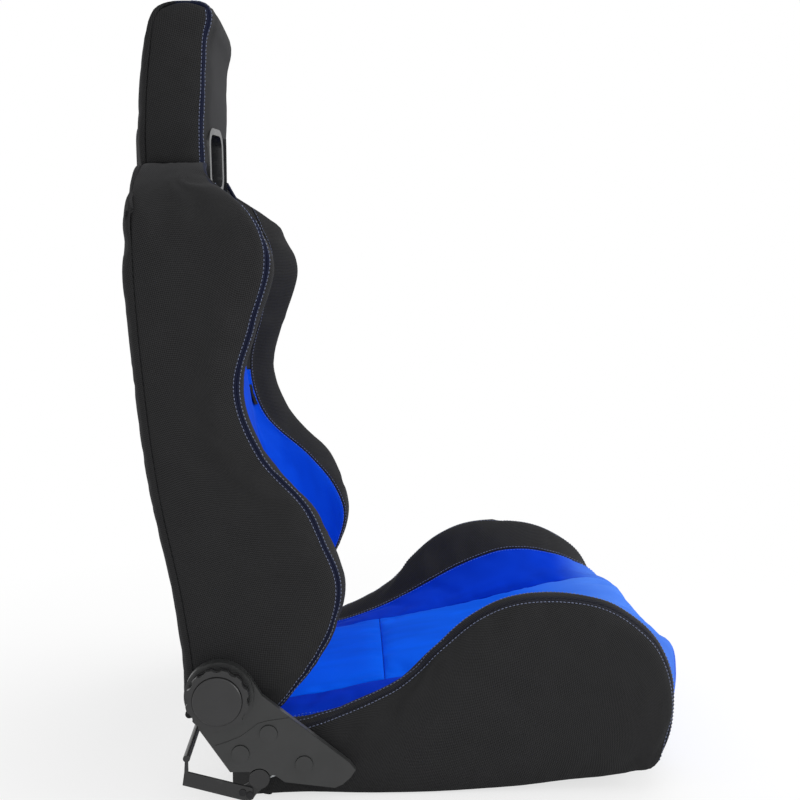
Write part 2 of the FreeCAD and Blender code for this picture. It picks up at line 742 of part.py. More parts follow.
def fold_plate(name, side):
    """Plate with a toothed sector that the latch pawl faces."""
    disc = cylinder(name + "_disc", "disc_radius + ring_wall", "plate_thickness", "axis_x",
                    f"{side} * ({fold_start})", "axis_z", outward(side))
    wedge = doc.addObject("Part::Cylinder", name + "_sector")
    wedge.setExpression("Radius", ref("sector_radius"))
    wedge.setExpression("Height", ref("plate_thickness"))
    wedge.setExpression("Angle", ref("sector_angle"))
    if side < 0:
        turn = Rotation(Vector(0, 1, 0), -size("sector_start")).multiply(outward(side))
    else:
        turn = Rotation(Vector(0, 1, 0), -size("sector_start") - size("sector_angle")).multiply(outward(side))
    place(wedge, "axis_x", f"{side} * ({fold_start})", "axis_z", turn)
    notch = box(name + "_notch", "tooth_depth + 10", "plate_thickness + 2", "tooth_width + 1", 0, 0, 0)
    swing = Rotation(Vector(0, 1, 0), -size("latch_angle"))
    tilt = math.radians(size("latch_angle"))
    reach = "(sector_radius - tooth_depth)"
    place(notch, f"axis_x + {math.cos(tilt):.6f} * {reach} + {math.sin(tilt):.6f} * (tooth_width + 1) / 2",
          f"{side} * ({fold_start} + plate_thickness / 2) - (plate_thickness + 2) / 2",
          f"axis_z + {math.sin(tilt):.6f} * {reach} - {math.cos(tilt):.6f} * (tooth_width + 1) / 2", swing)
    bore = cylinder(name + "_bore", "bush_radius + running_clearance", "plate_thickness + 2", "axis_x",
                    f"{side} * ({fold_start} - 1)", "axis_z", outward(side))
    return cut(name, fuse(name + "_blank", disc, wedge), notch, bore)


SCREW_PLACES = [("axis_x + 55", "axis_z - 46"), ("axis_x + 23", "axis_z - 69"), ("axis_x + 95", "axis_z - 83")]


def base_plate(name, side):
    """Steel plate bolted to the base rail; it carries the fold bush, the lever shaft and the cover."""
    outline = [("axis_x - 27", "axis_z - 18"), ("rear_bolt_x - 12", "rear_bolt_z - 6"),
               ("lever_x - lever_boss_radius", "rear_bolt_z - 8"), ("lever_x - lever_boss_radius", "lever_z"),
               ("lever_x + lever_boss_radius", "lever_z"), ("lever_x + 21", "lever_z + 8"),
               ("front_bolt_x - 6", "front_bolt_z - 11"), ("front_bolt_x + 4", "front_bolt_z - 10"),
               ("front_bolt_x + 11", "front_bolt_z - 3"), ("front_bolt_x + 13", "front_bolt_z + 6"),
               ("axis_x + 51", "axis_z - 14"), ("axis_x + 33", "axis_z")]
    holes = [("lever_x", "lever_z", "lever_shaft_radius + running_clearance"),
             ("spring_x", "spring_high_z", "pin_radius")]
    holes += [(f"{key}_bolt_x", f"{key}_bolt_z", "bolt_radius") for key in BASE_BOLTS]
    holes += [(x, z, "screw_radius") for x, z in SCREW_PLACES]
    flat = plate(name + "_flat", outline, "base_plate_thickness", side, base_start, holes)
    disc = cylinder(name + "_disc", "disc_radius + ring_wall", "base_plate_thickness", "axis_x",
                    f"{side} * ({base_start})", "axis_z", outward(side))
    boss = cylinder(name + "_boss", "lever_boss_radius", "base_plate_thickness", "lever_x",
                    f"{side} * ({base_start})", "lever_z", outward(side))
    bore = cylinder(name + "_bore", "bush_radius", "base_plate_thickness + 2", "axis_x",
                    f"{side} * ({base_start} - 1)", "axis_z", outward(side))
    shaft_bore = cylinder(name + "_shaft_bore", "lever_shaft_radius + running_clearance",
                          "base_plate_thickness + 2", "lever_x", f"{side} * ({base_start} - 1)", "lever_z",
                          outward(side))
    return cut(name, fuse(name + "_blank", flat, disc, boss), bore, shaft_bore)


group("fold_plates", [fold_plate("fold_plate_" + word, side) for word, side in SIDES])
group("recliner_base_plates", [base_plate("recliner_base_plate_" + word, side) for word, side in SIDES])
bushes = []
for word, side in SIDES:
    outline = [("hub_radius + running_clearance", 0), ("bush_radius", 0),
               ("bush_radius", "plate_thickness + stack_gap + base_plate_thickness"),
               ("hub_radius + running_clearance", "plate_thickness + stack_gap + base_plate_thickness")]
    bushes.append(turned("fold_bush", outline, "axis_x", fold_start, "axis_z", side))
group("fold_bushes", bushes)

# Bolts, spacers and nuts that hold the base plates to the rails. The rear stud ends flush, under the cover
# screw's tower.
bolts, spacers, nuts = [], [], []
for word, side in SIDES:
    nut_start = "rail_web_half - rail_wall - nut_height"
    for key in BASE_BOLTS:
        x, z = f"{key}_bolt_x", f"{key}_bolt_z"
        bolt = cylinder("plate_bolt_shank", "bolt_radius", f"{base_end} - ({nut_start})", x,
                        f"{side} * ({nut_start})", z, outward(side))
        if key != "rear":
            head = cylinder("plate_bolt_head", "bolt_head_radius", "plate_bolt_head_height", x,
                            f"{side} * ({base_end})", z, outward(side))
            bolt = fuse("plate_bolt", bolt, head)
        bolts.append(bolt)
        sleeve = cylinder("plate_sleeve", "spacer_radius", f"{base_start} - rail_web_half", x,
                          f"{side} * rail_web_half", z, outward(side))
        sleeve_bore = cylinder("plate_sleeve_bore", "bolt_radius", f"{base_start} - rail_web_half + 2", x,
                               f"{side} * (rail_web_half - 1)", z, outward(side))
        spacers.append(cut("plate_spacer", sleeve, sleeve_bore))
        nut = doc.addObject("Part::Prism", "plate_nut_blank")
        nut.Polygon = 6
        nut.setExpression("Circumradius", ref("bolt_head_radius"))
        nut.setExpression("Height", ref("nut_height"))
        place(nut, x, f"{side} * ({nut_start})", z, outward(side))
        nut_bore = cylinder("plate_nut_bore", "bolt_radius", "nut_height + 2", x,
                            f"{side} * ({nut_start} - 1)", z, outward(side))
        nuts.append(cut("plate_nut", nut, nut_bore))
group("plate_bolts", bolts)
group("plate_spacers", spacers)
group("plate_nuts", nuts)

# Drive: hubs, synchronising rod, hand wheels and caps
wheel_start = "stack_start + cover_depth + boss_rise + wheel_gap"
wheel_end = f"{wheel_start} + wheel_depth"
hubs = []
for word, side in SIDES:
    outline = [("rod_radius", 0), ("hub_radius", 0), ("hub_radius", f"{wheel_end} - stack_start"),
               ("rod_radius", f"{wheel_end} - stack_start")]
    hubs.append(turned("drive_hub", outline, "axis_x", "stack_start", "axis_z", side))
group("drive_hubs", hubs)
keep(cylinder("sync_rod", "rod_radius", f"2 * ({wheel_end})", "axis_x", wheel_end, "axis_z", outward(-1)),
     "sync_rod")
caps = []
for word, side in SIDES:
    blank = cylinder("hand_wheel_blank", "wheel_radius", "wheel_depth", "axis_x", f"{side} * ({wheel_start})",
                     "axis_z", outward(side))
    lobes = int(size("wheel_lobes"))
    scallops = [cylinder("hand_wheel_scallop", "scallop_radius", "wheel_depth + 2",
                         f"axis_x + {math.cos(2 * math.pi * i / lobes):.6f}"
                         " * (wheel_radius + scallop_radius - scallop_depth)",
                         f"{side} * ({wheel_start} - 1)",
                         f"axis_z + {math.sin(2 * math.pi * i / lobes):.6f}"
                         " * (wheel_radius + scallop_radius - scallop_depth)", outward(side))
                for i in range(lobes)]
    tool = doc.addObject("Part::Compound", "hand_wheel_scallops")
    tool.Links = scallops
    hub_bore = cylinder("hand_wheel_bore", "hub_radius", "wheel_depth + 2", "axis_x",
                        f"{side} * ({wheel_start} - 1)", "axis_z", outward(side))
    outline = [("wheel_groove_radius", "wheel_flange"), ("wheel_radius + 1", "wheel_flange"),
               ("wheel_radius + 1", "wheel_flange + wheel_groove"),
               ("wheel_groove_radius", "wheel_flange + wheel_groove")]
    groove = turned("hand_wheel_groove", outline, "axis_x", wheel_start, "axis_z", side)
    keep(cut("hand_wheel_" + word, blank, tool, hub_bore, groove), "hand_wheel_" + word)
    outline = [(0, 0), ("cap_radius", 0), ("cap_radius", "cap_height - 1"), ("cap_radius - 1", "cap_height"),
               (0, "cap_height")]
    caps.append(turned("wheel_cap", outline, "axis_x", wheel_end, "axis_z", side))
group("wheel_caps", caps)

# Recliner covers with their plugs and screws
COVER_OUTLINE = [("axis_x + 33", "axis_z + 23"), ("axis_x + 48", "axis_z - 2"),
                 ("front_bolt_x + 16", "front_bolt_z + 13"), ("front_bolt_x + 23", "front_bolt_z + 4"),
                 ("front_bolt_x + 17", "front_bolt_z - 5"), ("front_bolt_x + 8", "front_bolt_z - 13"),
                 ("front_bolt_x - 1", "front_bolt_z - 17"), ("lever_x + 29", "lever_z - 4"),
                 ("lever_x + 18", "lever_z + 4"), ("lever_x - 13", "lever_z + 9"),
                 ("lever_x - 33", "lever_z + 9"), ("axis_x - 23", "axis_z - 41"), ("axis_x - 37", "axis_z - 6")]
# The lower part of the cover is a little raised, up to this line.
STEP_LINE = [("axis_x - 5", "axis_z - 59"), ("axis_x + 8", "axis_z - 55"), ("axis_x + 23", "axis_z - 49"),
             ("axis_x + 33", "axis_z - 42"), ("axis_x + 43", "axis_z - 34"), ("axis_x + 55", "axis_z - 31"),
             ("axis_x + 78", "axis_z - 28"), ("axis_x + 200", "axis_z - 28"), ("axis_x + 200", "axis_z - 150"),
             ("axis_x - 5", "axis_z - 150")]
cover_face = "stack_start + cover_depth"
cover_floor = f"{cover_face} - shell_wall"


def measure(text):
    """Number that an expression in the sheet's sizes gives."""
    return numbers((text,))[0]


def cover_form(side, wall, y_from, y_to):
    """Solid in the cover's side view outline, drawn in by a wall."""
    points = [Vector(x, 0, z) for x, z in map(numbers, COVER_OUTLINE)]
    face = Part.Face(Part.makePolygon(points + points[:1]))
    boss = Part.Face(Part.Wire([Part.makeCircle(size("boss_radius"), Vector(size("axis_x"), 0, size("axis_z")),
                                                Vector(0, 1, 0))]))
    flat = face.fuse(boss).removeSplitter().Faces[0]
    if wall:
        flat = flat.makeOffset2D(-wall)
    low, high = sorted((side * y_from, side * y_to))
    block = flat.extrude(Vector(0, high - low, 0))
    block.translate(Vector(0, low, 0))
    return block


def round_block(side, radius, y_from, y_to, x, z):
    """Round block along Y between two distances from the centre plane."""
    return Part.makeCylinder(radius, y_to - y_from, Vector(x, side * y_from, z), Vector(0, side, 0))


def recliner_cover(side):
    """Moulded cover: a thin shell with a round boss, screw towers and a notch for the lever's hub."""
    wall = size("shell_wall")
    start = size("stack_start")
    face, floor, plate_end = measure(cover_face), measure(cover_floor), measure(base_end)
    boss_face = face + size("boss_rise")
    axis = (size("axis_x"), size("axis_z"))
    lever = (size("lever_x"), size("lever_z"))
    skirt = face - size("cover_skirt")
    shell = cover_form(side, 0, skirt, face).fuse(round_block(side, size("boss_radius"), face - 1,
                                                              boss_face, *axis))
    hollow = cover_form(side, wall, skirt - 1, floor)
    hollow = hollow.fuse(round_block(side, size("boss_radius") - wall, floor - 1, boss_face - wall, *axis))
    shell = shell.cut(hollow)
    low, high = sorted((side * (face - 0.5), side * (face + size("cover_step"))))
    raised = cover_form(side, size("step_gap"), face - 0.5, face + size("cover_step"))
    raised = raised.common(prism([numbers(point) for point in STEP_LINE], low, high))
    for x, z in map(numbers, SCREW_PLACES):
        raised = raised.cut(round_block(side, size("plug_radius") + size("step_gap"), face, boss_face, x, z))
    shell = shell.fuse(raised)
    for x, z in map(numbers, SCREW_PLACES):
        shell = shell.fuse(round_block(side, size("plug_radius"), plate_end, floor, x, z))
        shell = shell.cut(round_block(side, size("screw_radius") + size("fit_gap"), plate_end - 1, face + 1, x, z))
        shell = shell.cut(round_block(side, size("screw_head_radius"), floor - size("screw_head_height"),
                                      face + 1, x, z))
        shell = shell.cut(round_block(side, size("plug_stem_radius"), floor, face + 1, x, z))
    reach = size("lever_boss_radius") + 8
    front = size("spring_x") - 5
    low, high = sorted((side * (start - 1), side * (plate_end + size("soft_clearance"))))
    gap = slab(low, high, lever[0] - reach, front, z_to=lever[1] + 16)
    notch = round_block(side, size("notch_radius"), start - 1, face + 1, *lever)
    hole = round_block(side, size("bush_radius"), face, boss_face + 1, *axis)
    return shell.cut(gap).cut(notch).cut(hole).removeSplitter()


plugs, screws = [], []
for word, side in SIDES:
    keep(feature("recliner_cover_" + word, recliner_cover(side)), "recliner_cover_" + word)
    for x, z in SCREW_PLACES:
        stem = cylinder("plug_stem", "plug_stem_radius", "shell_wall", x, f"{side} * ({cover_floor})", z,
                        outward(side))
        top = cylinder("plug_top", "plug_radius", "plug_height", x, f"{side} * ({cover_face})", z, outward(side))
        plugs.append(fuse("plug", stem, top))
        head_start = f"{cover_floor} - screw_head_height"
        head = cylinder("screw_head", "screw_head_radius", "screw_head_height", x, f"{side} * ({head_start})", z,
                        outward(side))
        shank = cylinder("screw_shank", "screw_radius", f"{head_start} - ({base_start})", x,
                         f"{side} * ({base_start})", z, outward(side))
        screws.append(fuse("cover_screw", shank, head))
group("cover_plugs", plugs)
group("cover_screws", screws)

# Release lever: pawls, shafts, hub plates, arms, rivets, bar and springs
tilt = math.radians(size("latch_angle"))
radial = (math.cos(tilt), math.sin(tilt))
tangent = (-math.sin(tilt), math.cos(tilt))


def tooth_corner(reach, across_by):
    """Corner of the pawl's tooth as expressions: a reach from the axis and a step along the rim."""
    return tuple(f"axis_{key} + {radial[i]:.6f} * ({reach}) + {tangent[i]:.6f} * ({across_by})"
                 for i, key in enumerate("xz"))


def pawl(name, side):
    """Latch pawl on the lever's shaft, its tooth drawn just clear of the sector's notch."""
    tip, root = "sector_radius + tooth_gap", "sector_radius + tooth_gap + tooth_depth + 3"
    outline = [("lever_x - 8", "lever_z + 4"), ("lever_x - 7", "lever_z - 7"), ("lever_x + 12", "lever_z - 3"),
               ("spring_x + 3", "spring_low_z - 7"), ("spring_x + 6", "spring_low_z"),
               ("spring_x - 2", "spring_low_z + 7"), tooth_corner(root, "tooth_width / 2"),
               tooth_corner(tip, "tooth_width / 2"), tooth_corner(tip, "-tooth_width / 2"),
               tooth_corner(root, "-tooth_width / 2")]
    holes = [("lever_x", "lever_z", "lever_shaft_radius"), ("spring_x", "spring_low_z - 2", "pin_radius")]
    return plate(name, outline, "plate_thickness", side, fold_start, holes)


lever_plane = f"{base_end} + stack_gap"
arm_plane = f"{base_end} + stack_gap + plate_thickness"
RIVET_PLACES = (("lever_x - 19", "lever_z - 15"), ("lever_x - 11", "lever_z - 18"))
pawls, shafts, hub_plates, arms, rivets, springs = [], [], [], [], [], []
pins = {"low": [], "high": []}
for word, side in SIDES:
    pawls.append(pawl("latch_pawl", side))
    shafts.append(cylinder("lever_shaft", "lever_shaft_radius", f"{arm_plane} - ({fold_start})", "lever_x",
                           f"{side} * ({fold_start})", "lever_z", outward(side)))
    outline = [("lever_x - 10", "lever_z - 4"), ("lever_x - 25", "lever_z - 12"), ("lever_x - 24", "lever_z - 22"),
               ("lever_x - 8", "lever_z - 25"), ("lever_x - 5", "lever_z - 20"), ("lever_x + 9", "lever_z - 6")]
    tail = plate("lever_hub_tail", outline, "plate_thickness", side, lever_plane)
    disc = cylinder("lever_hub_disc", "lever_hub_radius", f"{cover_face} - ({lever_plane})", "lever_x",
                    f"{side} * ({lever_plane})", "lever_z", outward(side))
    hole = cylinder("lever_hub_bore", "lever_shaft_radius", "plate_thickness + 1", "lever_x",
                    f"{side} * ({lever_plane} - 1)", "lever_z", outward(side))
    rivet_holes = [cylinder("hub_rivet_hole", "rivet_radius", "plate_thickness + 2", x,
                            f"{side} * ({lever_plane} - 1)", z, outward(side)) for x, z in RIVET_PLACES]
    hub_plates.append(cut("lever_hub_plate", fuse("lever_hub_blank", tail, disc), hole, *rivet_holes))
    arm_outline = [("bar_x - 5", "lever_z - 5"), ("lever_x - 20", "lever_z - 24"), ("lever_x - 10", "lever_z - 25"),
                   ("lever_x - 7", "lever_z - 22"), ("lever_x - 8", "lever_z - 10"),
                   ("bar_x + tab_width / 2", "lever_z + 10"), ("bar_x + tab_width / 2", "bar_z"),
                   ("bar_x - tab_width / 2", "bar_z"), ("bar_x - tab_width / 2 - 1", "lever_z + 10")]
    arm_holes = [(x, z, "rivet_radius") for x, z in RIVET_PLACES]
    strip = plate("release_strip_" + word, arm_outline, "plate_thickness", side, arm_plane, arm_holes)
    ear = cylinder("release_ear", "bar_radius", "plate_thickness", "bar_x", f"{side} * ({arm_plane})", "bar_z",
                   outward(side))
    arms.append(fuse("release_arm", strip, ear))
    for x, z in RIVET_PLACES:
        shank = cylinder("rivet_shank", "rivet_radius", "2 * plate_thickness", x, f"{side} * ({lever_plane})", z,
                         outward(side))
        head = cylinder("rivet_head", "rivet_radius + 1", "rivet_head_height", x,
                        f"{side} * ({arm_plane} + plate_thickness)", z, outward(side))
        rivets.append(fuse("release_rivet", shank, head))
    for key, z, start in (("low", "spring_low_z - 2", fold_start), ("high", "spring_high_z", base_start)):
        length = f"{start} + plate_thickness - stack_start - 1"
        pins[key].append(cylinder(f"{key}_spring_pin", "pin_radius", length, "spring_x",
                                  f"{side} * (stack_start + 1)", z, outward(side)))
    coil_low, coil_high = "spring_low_z - 2 + pin_radius", "spring_high_z - pin_radius"
    coil_y = f"{side} * (stack_start + 4.5)"
    coil = cylinder("spring_coil", "spring_radius", f"{coil_high} - ({coil_low})", "spring_x", coil_y, coil_low,
                    Rotation())
    core = cylinder("spring_core", "spring_bore", f"{coil_high} - ({coil_low}) + 2", "spring_x", coil_y,
                    f"{coil_low} - 1", Rotation())
    springs.append(cut("release_spring", coil, core))
group("latch_pawls", pawls)
group("lever_shafts", shafts)
group("lever_hub_plates", hub_plates)
group("release_arms", arms)
group("release_rivets", rivets)
group("pawl_spring_pins", pins["low"])
group("plate_spring_pins", pins["high"])
group("release_springs", springs)
keep(cylinder("release_bar", "bar_radius", f"2 * ({arm_plane})", "bar_x", arm_plane, "bar_z", outward(-1)),
     "release_bar")

doc.recompute()

# Backrest upholstery
back_form = back_solid(0, 0)
back_cavity = back_solid(size("cover_wall"), 20)
head_form = head_solid(0)
head_cavity = head_solid(size("cover_wall"))
bezel_wall = size("bezel_wall")
split_x = (size("bezel_front_x") + size("bezel_rear_x")) / 2
sleeves = joined([slot_block(side, bezel_wall, -400, -150) for word, side in SIDES])
recliner_holes = joined([round_block(side, size("disc_radius"), 200, 300, size("axis_x"), size("axis_z"))
                         for word, side in SIDES])
back_skin = back_form.cut(back_cavity).cut(head_cavity).cut(sleeves).cut(recliner_holes)
rod_bore = Part.makeCylinder(size("hub_radius") + 1, 600, Vector(size("axis_x"), -300, size("axis_z")),
                             Vector(0, 1, 0))
back_steel = [hoop, cross_tubes, head_hoop, back_wires] + [item.Shape for item in side_plates]
floor_foam = slab(-300, 300, z_from=size("back_floor_z") + size("cover_wall"))
foam = back_cavity.common(floor_foam).cut(head_cavity).cut(sleeves).cut(rod_bore).cut(recliner_holes)
for part in back_steel:
    foam = foam.cut(part)
keep(feature("back_foam", foam), "back_foam")
head_foam = head_cavity.cut(sleeves).cut(head_hoop)
keep(feature("head_foam", head_foam), "head_foam")
keep(feature("head_cover", head_form.cut(head_cavity).cut(sleeves)), "head_cover")

rear_line = [(x + size("rear_strip"), z) for x, z in
             zip(BACK_REAR, [80] + BACK_HEIGHTS[1:] + [660, 700, size("head_joint_z") + 10])]
rear_region = prism([(-400, 80)] + rear_line + [(-400, size("head_joint_z") + 10)], -seam, seam)
side_region = slab(-300, -seam)
front_skin = back_skin.cut(rear_region)
for (word, side), part in zip(SIDES, both(back_skin.common(side_region))):
    keep(feature("back_side_" + word, part), "back_side_" + word)
keep(feature("back_rear_panel", back_skin.common(rear_region)), "back_rear_panel")
for (word, side), part in zip(SIDES, both(front_skin.common(slab(-seam, -insert)))):
    keep(feature("back_band_" + word, part), "back_band_" + word)
centre_skin = front_skin.common(slab(-insert, insert))
blue_region = slab(-insert, insert, z_to=size("blue_wing_top")).fuse(
    slab(-size("crease_half"), size("crease_half"), z_to=size("blue_centre_top")))
keep(feature("back_insert", centre_skin.common(blue_region)), "back_insert")
keep(feature("back_upper_panel", centre_skin.cut(blue_region)), "back_upper_panel")
hem = Part.makeCylinder(size("hem_radius"), 2 * size("hem_half"),
                        Vector(BACK_REAR[0] + 3, -size("hem_half"),
                               size("back_floor_z") - size("hem_radius")), Vector(0, 1, 0))
keep(feature("back_hem", hem), "back_hem")


def lip_sheet(side, x_from, x_to, turn):
    """Upright sheet across a slot, turned about the slot's middle to lie on the pad's face."""
    sheet_block = Part.makeBox(x_to - x_from, 300, 300, Vector(x_from - x_to, -150, -150))
    sheet_block.rotate(Vector(), Vector(0, 0, 1), side * turn)
    sheet_block.translate(Vector(x_to, side * size("slot_offset"), size("slot_z")))
    return sheet_block


def bezel(side, sleeve_sheet, flange_sheet):
    """Moulded slot trim: a sleeve through half the backrest and a flange on its face."""
    sleeve = slot_block(side, bezel_wall, -400, -150).common(sleeve_sheet)
    flange = slot_block(side, size("bezel_lip"), -400, -150).common(flange_sheet)
    opening = slot_block(side, 0, -410, -140)
    return sleeve.fuse(flange).cut(opening)


front_x, rear_x, lip_depth = size("bezel_front_x"), size("bezel_rear_x"), size("bezel_lip_depth")
front_bezels, rear_bezels = [], []
for word, side in SIDES:
    front_half = lip_sheet(side, -500, front_x, size("bezel_turn")).common(slab(-300, 300, x_from=split_x))
    front_flange = lip_sheet(side, front_x - lip_depth, front_x, size("bezel_turn"))
    front_bezels.append(bezel(side, front_half, front_flange))
    rear_bezels.append(bezel(side, lip_sheet(side, rear_x, split_x, 0),
                             lip_sheet(side, rear_x, rear_x + lip_depth, 0)))
keep(feature("slot_bezels_front", joined(front_bezels)), "slot_bezels_front")
keep(feature("slot_bezels_rear", joined(rear_bezels)), "slot_bezels_rear")
for label in ("head_cover", "head_foam", "back_foam", "back_rear_panel", "back_upper_panel"):
    shape = nodes[label].Shape
    for block in front_bezels + rear_bezels:
        shape = shape.cut(block)
    nodes[label].Shape = shape
tag = back_solid(-size("tag_thickness"), 0).common(
    slab(insert - size("tag_width"), insert, x_to=-190, x_from=-260, z_from=size("tag_z") - size("tag_height") / 2,
         z_to=size("tag_z") + size("tag_height") / 2)).cut(back_form)
keep(feature("trim_tag", tag), "trim_tag")

doc.recompute()
for obj in doc.Objects:
    if "Invalid" in obj.State or "Error" in obj.State:
        raise RuntimeError(f"{obj.Label} failed: {obj.State}")
faulty = [label for label, obj in sorted(nodes.items())
          if obj.Shape.isNull() or not obj.Shape.isValid() or not obj.Shape.Solids]
if faulty:
    raise RuntimeError(f"no valid solid: {faulty}")
os.makedirs("parts", exist_ok=True)
for label, obj in sorted(nodes.items()):
    obj.Shape.exportStep(f"parts/{label}.step")
    print(label, len(obj.Shape.Solids), round(obj.Shape.Volume / 1000, 2))
print("pieces", len(nodes))
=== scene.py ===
"""Racing seat: sewn upholstery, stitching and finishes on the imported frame.

The scene is in metres, with +X to the seat's front, +Y to its left and +Z up. Upholstery sizes are written
in millimetres, as a trimmer notes them, and turned to metres where a mesh is made.
"""
import logging
import math
from dataclasses import dataclass, field
from enum import Enum
from typing import Iterable, Optional, Sequence

import bmesh
import bpy
import numpy as np
from mathutils import Matrix, Vector


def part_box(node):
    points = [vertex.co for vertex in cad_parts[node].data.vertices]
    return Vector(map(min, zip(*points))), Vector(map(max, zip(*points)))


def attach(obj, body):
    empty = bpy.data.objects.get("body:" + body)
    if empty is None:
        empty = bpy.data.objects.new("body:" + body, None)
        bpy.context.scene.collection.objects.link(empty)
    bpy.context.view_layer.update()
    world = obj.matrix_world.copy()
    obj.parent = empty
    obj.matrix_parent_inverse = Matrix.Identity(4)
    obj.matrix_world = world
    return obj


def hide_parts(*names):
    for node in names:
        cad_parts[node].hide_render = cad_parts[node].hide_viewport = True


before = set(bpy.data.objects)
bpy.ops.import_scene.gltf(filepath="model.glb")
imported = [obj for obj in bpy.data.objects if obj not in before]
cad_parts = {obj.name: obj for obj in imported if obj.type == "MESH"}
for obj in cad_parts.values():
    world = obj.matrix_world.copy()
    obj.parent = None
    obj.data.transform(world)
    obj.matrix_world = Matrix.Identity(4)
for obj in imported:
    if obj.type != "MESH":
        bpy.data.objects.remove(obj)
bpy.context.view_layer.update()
LOG = logging.getLogger("racing_seat")
MM = 0.001
SIDES = (("right", -1), ("left", 1))
FORWARD = (1.0, 0.0, 0.0)
BACKWARD = (-1.0, 0.0, 0.0)
DOWNWARD = (0.0, 0.0, -1.0)


class Body(Enum):
    """Moving bodies of the frame that carry new pieces."""

    BASE = "seat_base"
    BACK = "backrest"
    DRIVE = "recline_drive"


class Edge(Enum):
    """How one edge of a panel is finished."""

    SEAM = "seam"
    PAIRED = "paired"
    DOUBLE = "double"
    TUCKED = "tucked"


# Shader tools
def linear(colour: str) -> tuple[float, float, float, float]:
    """Turn an sRGB hex colour to linear light.

    Args:
        colour: Six hex digits with a leading hash.

    Returns:
        Red, green, blue and alpha in linear light.
    """
    channels = [int(colour[i:i + 2], 16) / 255 for i in (1, 3, 5)]
    steps = [c / 12.92 if c <= 0.04045 else ((c + 0.055) / 1.055) ** 2.4 for c in channels]
    return steps[0], steps[1], steps[2], 1.0


def feed(tree: bpy.types.NodeTree, node: bpy.types.Node, inputs: dict) -> None:
    """Set or join a shader node's inputs.

    Args:
        tree: Node tree of the node.
        node: Node whose inputs are fed.
        inputs: By input name or place, a number, a hex colour or the socket to join.
    """
    for key, value in inputs.items():
        if isinstance(value, bpy.types.NodeSocket):
            tree.links.new(value, node.inputs[key])
        else:
            node.inputs[key].default_value = linear(value) if isinstance(value, str) else value


def add(tree: bpy.types.NodeTree, kind: str, inputs: Optional[dict] = None,
        **settings: object) -> bpy.types.Node:
    """Add one shader node with its settings and links.

    Args:
        tree: Node tree that gets the node.
        kind: Blender's name of the node type, without its first word.
        inputs: What its inputs are fed with, by input name or place.
        **settings: Other attributes of the node.

    Returns:
        The new node.
    """
    node = tree.nodes.new("ShaderNode" + kind)
    for key, value in settings.items():
        setattr(node, key, value)
    feed(tree, node, inputs or {})
    return node


def new_material(name: str) -> tuple[bpy.types.Material, bpy.types.NodeTree, bpy.types.Node]:
    """Make an empty material and its Principled shader.

    Args:
        name: Name of the material.

    Returns:
        The material, its node tree and the shader node.
    """
    material = bpy.data.materials.new(name)
    material.use_nodes = True
    tree = material.node_tree
    tree.nodes.clear()
    shader = add(tree, "BsdfPrincipled")
    add(tree, "OutputMaterial", {"Surface": shader.outputs["BSDF"]})
    return material, tree, shader


def seen_rays(tree: bpy.types.NodeTree) -> bpy.types.NodeSocket:
    """Find the rays that show the background as white: camera, glossy and transmission rays.

    Args:
        tree: Node tree that gets the nodes.

    Returns:
        Socket that is 1 for those rays and 0 for the others.
    """
    rays = add(tree, "LightPath").outputs
    seen = rays["Is Camera Ray"]
    for other in (rays["Is Glossy Ray"], rays["Is Transmission Ray"]):
        seen = add(tree, "Math", {0: seen, 1: other}, operation="MAXIMUM").outputs[0]
    return seen


